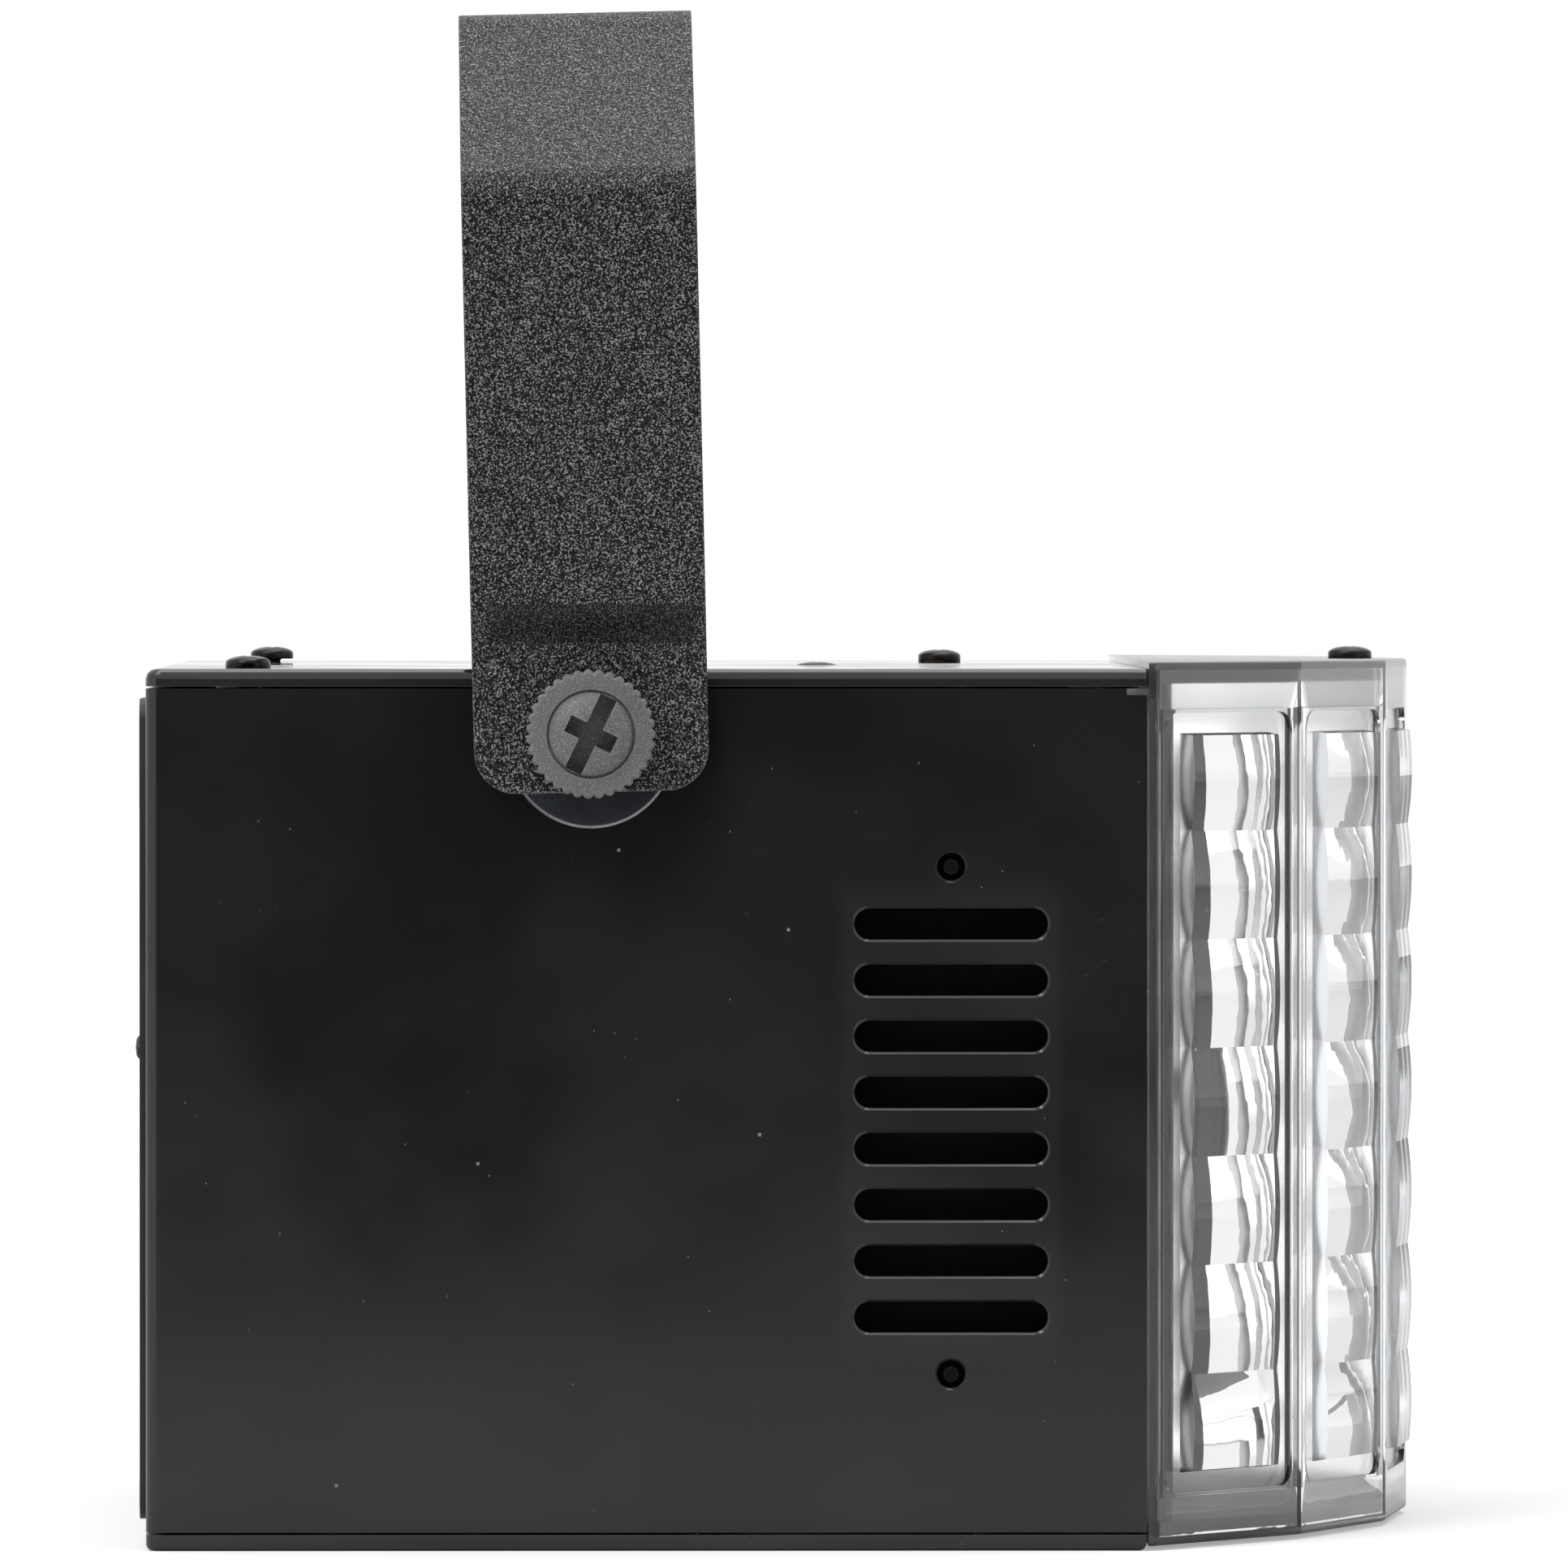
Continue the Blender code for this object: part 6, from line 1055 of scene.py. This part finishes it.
def build_cover():
    """Clear bow of flat facets with lens panes, and a flange and lip that fit the housing."""
    corners = bow_corners(0.0)
    rear = [Vector((COVER_REAR_X, corners[-1].y, 0.0)), Vector((COVER_REAR_X, corners[0].y, 0.0))]
    bm = bmesh.new()
    plate_from_outline(bm, corners + rear, COVER_BOTTOM, COVER_TOP)
    ends = {face for face in bm.faces if abs(face.normal.z) > 0.9}
    sharp = [edge for edge in bm.edges if set(edge.link_faces) & ends
             and min(vert.co.x for vert in edge.verts) < max(vert.co.x for vert in edge.verts)]
    round_off(bm, sharp, COVER_EDGE_RADIUS, 5)
    cover = new_object("lens_cover_finished", bm)

    bm = bmesh.new()
    plate_from_outline(bm, bow_outline(COVER_WALL, COVER_REAR_X + COVER_RIM),
                       COVER_BOTTOM + COVER_WALL, COVER_TOP - COVER_WALL)
    lip_y = INNER_Y - PART_GAP
    opening_y = lip_y - COVER_LIP_WALL
    block(bm, (COVER_REAR_X - EMBED, -opening_y, SHELL_LOW.z + COVER_LIP_WALL),
          (COVER_REAR_X + COVER_RIM + EMBED, opening_y, SHELL_HIGH.z - COVER_LIP_WALL))
    combine(cover, bm, crossing=True)

    bm = bmesh.new()
    window_frame(bm, (COVER_REAR_X - COVER_LIP_LENGTH, -lip_y, SHELL_LOW.z),
                 (COVER_REAR_X + COVER_RIM / 2, lip_y, SHELL_HIGH.z), COVER_LIP_WALL)
    combine(cover, bm, "UNION")
    bm = bmesh.new()
    for side in (-1, 1):
        near, far = sorted((side * (lip_y - EMBED), side * (SIDE_Y - PART_GAP)))
        block(bm, (FRONT_X - SEAM_NOTCH_LENGTH + PART_GAP, near,
                   SHELL_HIGH.z - SEAM_NOTCH_DEPTH + PART_GAP),
              (COVER_REAR_X + COVER_RIM / 2, far, SHELL_HIGH.z))
    combine(cover, bm, "UNION")

    half_width, half_height = window_half()
    bm = bmesh.new()
    for matrix in facet_matrices():
        known = set(bm.verts)
        rounded_block(bm, (-half_width, -half_height, EMBED - PANEL_BACK),
                      (half_width, half_height, WALL), 2, WINDOW_CORNER_RADIUS)
        bmesh.ops.transform(bm, matrix=matrix, verts=new_verts(bm, known))
    combine(cover, bm)

    bm = bmesh.new()
    for matrix in facet_matrices():
        lens_panel(bm, matrix)
    combine(cover, bm, "UNION")
    screw_x = middle("cover_screw").x
    bm = bmesh.new()
    rod(bm, (screw_x, 0.0, COVER_TOP - 2 * COVER_WALL), (screw_x, 0.0, COVER_TOP + COVER_WALL),
        SCREW_HOLE_RADIUS)
    combine(cover, bm)
    cover.data.shade_smooth()
    cover.data.set_sharp_from_angle(angle=math.radians(CRISP_ANGLE))
    mark_polish(cover)
    dress(cover, "lens_cover", "cover")


# Yoke and pivots

def folded_sheet(bm, path, run, bend, segments=10):
    """Add an open sheet that follows the path and is drawn out along the run, its folds rounded."""
    verts = [bm.verts.new(point) for point in path]
    edges = [bm.edges.new(pair) for pair in zip(verts, verts[1:])]
    drawn = bmesh.ops.extrude_edge_only(bm, edges=edges)["geom"]
    bmesh.ops.translate(bm, verts=only(drawn, bmesh.types.BMVert), vec=run)
    round_off(bm, [edge for edge in bm.edges if not edge.is_boundary], bend, segments)


def lean_back(bm):
    """Carry a shape drawn round the pivot to its place, leaning as the yoke does."""
    matrix = Matrix.Translation(PIVOT) @ Matrix.Rotation(-YOKE_LEAN, 4, "Y")
    bmesh.ops.transform(bm, matrix=matrix, verts=bm.verts)


def build_yoke():
    """Folded strip with round bends, rounded tab corners and its holes."""
    half = [(TAB_MIDDLE_Y, -YOKE_TAB_BELOW), (TAB_MIDDLE_Y, YOKE_JOG_START),
            (ARM_MIDDLE_Y, YOKE_JOG_END), (ARM_MIDDLE_Y, YOKE_SHOULDER_START),
            (ARM_MIDDLE_Y - YOKE_SHOULDER_IN, YOKE_TOP - YOKE_SHEET / 2)]
    path = [Vector((-YOKE_WIDTH / 2, -y, z)) for y, z in half]
    path += [Vector((-YOKE_WIDTH / 2, y, z)) for y, z in reversed(half)]
    bm = bmesh.new()
    folded_sheet(bm, path, Vector((YOKE_WIDTH, 0.0, 0.0)), YOKE_BEND_RUN)
    tips = [vert for vert in bm.verts if abs(vert.co.z + YOKE_TAB_BELOW) < PART_GAP]
    round_off(bm, tips, YOKE_TAB_RADIUS, 12, "VERTICES")
    lean_back(bm)
    yoke = thicken(new_object("yoke_finished", bm), YOKE_SHEET, 0.0)
    below, above = YOKE_TOP - 2 * YOKE_SHEET, YOKE_TOP + YOKE_SHEET
    bm = bmesh.new()
    for side in (-1, 1):
        rod(bm, (0.0, side * (TAB_MIDDLE_Y - YOKE_SHEET), 0.0),
            (0.0, side * (TAB_MIDDLE_Y + YOKE_SHEET), 0.0), SHANK_RADIUS + PART_GAP)
        near = side * YOKE_SLOT_Y - YOKE_SLOT_LENGTH / 2
        rounded_block(bm, (-YOKE_SLOT_WIDTH / 2, near, below),
                      (YOKE_SLOT_WIDTH / 2, near + YOKE_SLOT_LENGTH, above),
                      2, YOKE_SLOT_WIDTH * ROUND_END, 12)
    rod(bm, (0.0, 0.0, below), (0.0, 0.0, above), YOKE_HANG_HOLE_RADIUS)
    lean_back(bm)
    combine(yoke, bm)
    soften(yoke, METAL_EDGE)
    dress(yoke, "yoke", "yoke", "yoke")


def build_thumbscrew(name, side):
    """Knurled thumbscrew with rounded teeth, a domed boss in a groove, and a slotted recess."""
    node = "thumbscrew_" + name
    out = Vector((0.0, side, 0.0))
    low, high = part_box(node)
    seat = Vector((PIVOT.x, side * (KNOB_CROWN_Y - KNOB_THICKNESS - KNOB_BOSS_HEIGHT), PIVOT.z))
    face = seat + out * KNOB_THICKNESS
    bm = bmesh.new()
    rod(bm, seat, face, KNOB_RADIUS, KNOB_TEETH * KNOB_TOOTH_STEPS)
    for vert in bm.verts:
        offset = Vector((vert.co.x - PIVOT.x, 0.0, vert.co.z - PIVOT.z))
        if offset.length > KNOB_RADIUS / 2:
            swing = 0.5 + 0.5 * math.cos(math.atan2(offset.z, offset.x) * KNOB_TEETH)
            radius = KNOB_ROOT_RADIUS + (KNOB_RADIUS - KNOB_ROOT_RADIUS) * swing ** KNOB_TOOTH_POWER
            vert.co += offset * (radius / KNOB_RADIUS - 1)
    rims = [rim for rim in bm.faces if abs(rim.normal.y) > 0.9]
    bmesh.ops.inset_individual(bm, faces=rims, thickness=KNOB_RIM_INSET, depth=KNOB_RIM_RISE)
    knob = new_object(node + "_finished", bm)
    bm = bmesh.new()
    rod(bm, face - out * KNOB_GROOVE_DEPTH, face + out * KNOB_GROOVE_DEPTH,
        KNOB_BOSS_RADIUS + KNOB_GROOVE_WIDTH, WIDE_STEPS)
    combine(knob, bm)
    sink = KNOB_THICKNESS - KNOB_GROOVE_DEPTH - EMBED
    tip = -(high.y - low.y - KNOB_THICKNESS - KNOB_BOSS_HEIGHT)
    profile = dome(KNOB_BOSS_RADIUS, KNOB_THICKNESS, KNOB_BOSS_HEIGHT)
    profile += [(KNOB_BOSS_RADIUS, sink), (SHANK_RADIUS, sink), (SHANK_RADIUS, tip), (0.0, tip)]
    bm = bmesh.new()
    turned(bm, profile, seat, out, WIDE_STEPS)
    combine(knob, bm, "UNION")
    turn = (Matrix.Translation(face + out * KNOB_BOSS_HEIGHT)
            @ Matrix.Rotation(side * KNOB_SLOT_ANGLE, 4, "Y"))
    bm = bmesh.new()
    for length, width in ((KNOB_SLOT_LENGTH, KNOB_SLOT_WIDTH), (KNOB_SLOT_WIDTH, KNOB_CROSS_LENGTH)):
        matrix = turn @ Matrix.Diagonal((length, 2 * KNOB_RECESS_DEPTH, width, 1.0))
        bmesh.ops.create_cube(bm, size=1.0, matrix=matrix)
    combine(knob, bm, crossing=True)
    soften(knob, MOULD_EDGE, 2, angle=38.0)
    dress(knob, node, "knob", node)


def build_washer(name, side):
    """Thin friction washer with rounded rims."""
    node = "friction_washer_" + name
    low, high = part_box(node)
    radius = (high.x - low.x) / 2
    half = (high.y - low.y) / 2
    edge = half * 0.5
    start = (WASHER_BORE, half - edge / 2)
    ring = [start, (WASHER_BORE + edge / 2, half), (radius - edge, half)]
    for index in range(1, 6):
        angle = math.pi * index / 6
        ring.append((radius - edge + edge * math.sin(angle), half * math.cos(angle)))
    ring += [(radius - edge, -half), (WASHER_BORE + edge / 2, -half),
             (WASHER_BORE, -half + edge / 2), start]
    bm = bmesh.new()
    turned(bm, ring, middle(node), (0, side, 0), WIDE_STEPS)
    washer = new_object(node + "_finished", bm)
    soften(washer, 0.0)
    dress(washer, node, "washer")


# Wheel and optics

def build_wheel():
    """Effect wheel with nine large and nine small apertures round its hub."""
    low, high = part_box("effect_wheel")
    centre_z = middle("effect_wheel").z
    bm = bmesh.new()
    rod(bm, (low.x, 0.0, centre_z), (low.x + WHEEL_SHEET, 0.0, centre_z), (high.z - low.z) / 2,
        2 * WIDE_STEPS)
    wheel = new_object("effect_wheel_finished", bm)
    bm = bmesh.new()
    rod(bm, (low.x + EMBED, 0.0, centre_z), (high.x, 0.0, centre_z), WHEEL_HUB_RADIUS, WIDE_STEPS)
    combine(wheel, bm, "UNION")
    bm = bmesh.new()
    rod(bm, (low.x - WALL, 0.0, centre_z), (high.x + WALL, 0.0, centre_z), WHEEL_BORE_RADIUS)
    for index in range(WHEEL_APERTURES):
        for circle, hole, offset in (LARGE_APERTURES, SMALL_APERTURES):
            turn = 2 * math.pi * index / WHEEL_APERTURES + offset
            y = circle * math.cos(turn)
            z = centre_z + circle * math.sin(turn)
            rod(bm, (low.x - WALL, y, z), (low.x + WHEEL_SHEET + WALL, y, z), hole)
    combine(wheel, bm)
    soften(wheel, METAL_EDGE)
    dress(wheel, "effect_wheel", "matt", "wheel")


def build_condenser(colour):
    """Moulded lens with a flange and a full dome."""
    node = "condenser_lens_" + colour
    low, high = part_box(node)
    place = middle(node)
    place.x = low.x
    radius = (high.y - low.y) / 2
    profile = dome(CONDENSER_RADIUS, CONDENSER_BODY, high.x - low.x - CONDENSER_BODY, 14)
    profile += [(CONDENSER_RADIUS, CONDENSER_FLANGE), (radius, CONDENSER_FLANGE), (radius, 0.0),
                (0.0, 0.0)]
    bm = bmesh.new()
    turned(bm, profile, place, (1, 0, 0), 64)
    lens = new_object(node + "_finished", bm)
    soften(lens, 0.0001, 2, angle=50.0)
    dress(lens, node, "lens")


# Pieces whose shape is already right: their slot, finish, edge radius and nodes
PLAIN_PIECES = (
    ("black_plastic", "panel", 0.0002, ["rear_plate"]),
    # the baffles take the darker finish that paints the shade inside the vents
    ("black_plastic", "baffle", 0.0001, ["vent_baffle_left", "vent_baffle_right"]),
    ("black_plastic", "matt", 0.0001, ["front_chassis"]),
    ("black_plastic", "matt", 0.0002, ["signal_socket_in", "signal_socket_out", "power_inlet",
                                       "lens_holder"]),
    ("green_board", "green_board", 0.00005, ["control_board"]),
    ("green_board", "green_board", 0.0001, ["power_supply_board"]),
    ("white_board", "white_board", 0.00008, ["led_board"]),
    ("aluminium", "aluminium", 0.0001, ["led_heatsink", "microphone"]),
    ("steel", "steel", 0.0001, ["motor_bracket"]),
    ("steel", "steel", 0.0002, ["wheel_motor", "pivot_nut_left", "pivot_nut_right"]),
    ("transformer_core", "core", 0.0002, ["transformer"]),
    ("capacitor_sleeve", "sleeve", 0.0002, ["capacitor"]),
    ("display_face", "display", 0.0002, ["display_module"]),
    ("lead_sheath", "lead", 0.0, ["mains_lead", "led_lead", "motor_lead"]),
)


def build_plain_pieces():
    for slot, finish, width, nodes in PLAIN_PIECES:
        for node in nodes:
            dress_node(node, width, finish)
    dress_node("motor_shaft", 0.0001, "steel", "wheel")
    for index in (1, 2, 3, 4):
        dress_node(f"button_{index}", 0.0002, "button", f"button_{index}")


# Studio

def flat_sheet(name, reach, place, material, turn=0.0):
    """Add a square sheet that belongs to the studio and not to the part."""
    bm = bmesh.new()
    bmesh.ops.create_grid(bm, x_segments=1, y_segments=1, size=reach,
                          matrix=Matrix.Rotation(math.radians(turn), 4, "X"))
    bmesh.ops.translate(bm, verts=bm.verts, vec=place)
    sheet = new_object(name, bm)
    sheet.data.materials.append(material)
    return sheet


def aimed(name, data, place, target):
    """Add a lamp or the camera, looking from its place at a target."""
    obj = bpy.data.objects.new(name, data)
    obj.location = place
    obj.rotation_mode = "QUATERNION"
    obj.rotation_quaternion = (Vector(target) - Vector(place)).to_track_quat("-Z", "Y")
    bpy.context.scene.collection.objects.link(obj)
    return obj


def build_floor():
    """Pale floor that fades to the white of the surround."""
    material = bpy.data.materials.new("studio_floor")
    material.use_nodes = True
    tree = material.node_tree
    tree.nodes.clear()
    rays = add(tree, "ShaderNodeLightPath").outputs
    seen = maths(tree, "MAXIMUM", rays["Is Camera Ray"], rays["Is Transmission Ray"])
    depth = separate(tree, add(tree, "ShaderNodeTexCoord").outputs["Object"])["Y"]
    diffuse = add(tree, "ShaderNodeBsdfDiffuse", {"Color": FLOOR_COLOUR})
    level = times(tree, seen, ramp(tree, depth, *FLOOR_FADE, *FLOOR_LIFT))
    lift = add(tree, "ShaderNodeEmission", {"Color": WHITE, "Strength": level})
    both = add(tree, "ShaderNodeAddShader", {0: diffuse.outputs[0], 1: lift.outputs[0]})
    add(tree, "ShaderNodeOutputMaterial", {"Surface": both.outputs[0]})
    flat_sheet("studio_floor", FLOOR_REACH, (0.0, FLOOR_REACH + FLOOR_FRONT_Y, -FLOOR_DROP), material)


def build_screen():
    """Dark screen behind the camera that only glossy surfaces see."""
    material, tree, _ = new_material("studio_screen", 1.0)
    shader_inputs(tree)["Base Color"].default_value = SCREEN_COLOUR
    screen = flat_sheet("studio_screen", SCREEN_REACH, SCREEN_PLACE, material, 90.0)
    screen.visible_camera = False
    screen.visible_diffuse = False
    screen.visible_transmission = False
    screen.visible_shadow = False


def build_lamps():
    for name, place, size, power in LAMPS:
        lamp = bpy.data.lights.new(name, "AREA")
        lamp.shape = "SQUARE"
        lamp.size = size
        lamp.energy = power
        aimed(name, lamp, place, LAMP_TARGET).visible_camera = False


def build_surround():
    """White surround that is dimmer as a light than as a background."""
    world = bpy.data.worlds.new("studio_surround")
    bpy.context.scene.world = world
    world.use_nodes = True
    tree = world.node_tree
    tree.nodes.clear()
    rays = add(tree, "ShaderNodeLightPath").outputs
    seen = maths(tree, "MAXIMUM", rays["Is Camera Ray"], rays["Is Glossy Ray"])
    seen = maths(tree, "MAXIMUM", seen, rays["Is Transmission Ray"])
    back = add(tree, "ShaderNodeBackground",
               {"Color": WHITE, "Strength": ramp(tree, seen, 0.0, 1.0, SURROUND_LIGHT, 1.0)})
    add(tree, "ShaderNodeOutputWorld", {"Surface": back.outputs[0]})


def build_camera():
    camera = bpy.data.cameras.new("camera")
    camera.lens = CAMERA_LENS
    camera.sensor_width = SENSOR_WIDTH
    camera.sensor_fit = "HORIZONTAL"
    camera.clip_end = 20.0
    bpy.context.scene.camera = aimed("camera", camera, CAMERA_PLACE, CAMERA_TARGET)


build_camera()
build_floor()
build_screen()
build_lamps()
build_surround()
build_shell()
dress_node("top_lid", PLATE_EDGE, "lid")
dress_node("bottom_plate", PLATE_EDGE, "lid")
build_screws()
build_cover()
build_yoke()
for pivot_name, pivot_side in (("left", -1), ("right", 1)):
    build_thumbscrew(pivot_name, pivot_side)
    build_washer(pivot_name, pivot_side)
build_wheel()
for lens_colour in ("red", "green", "blue", "white"):
    build_condenser(lens_colour)
build_plain_pieces()
bpy.context.scene.view_settings.view_transform = "Standard"
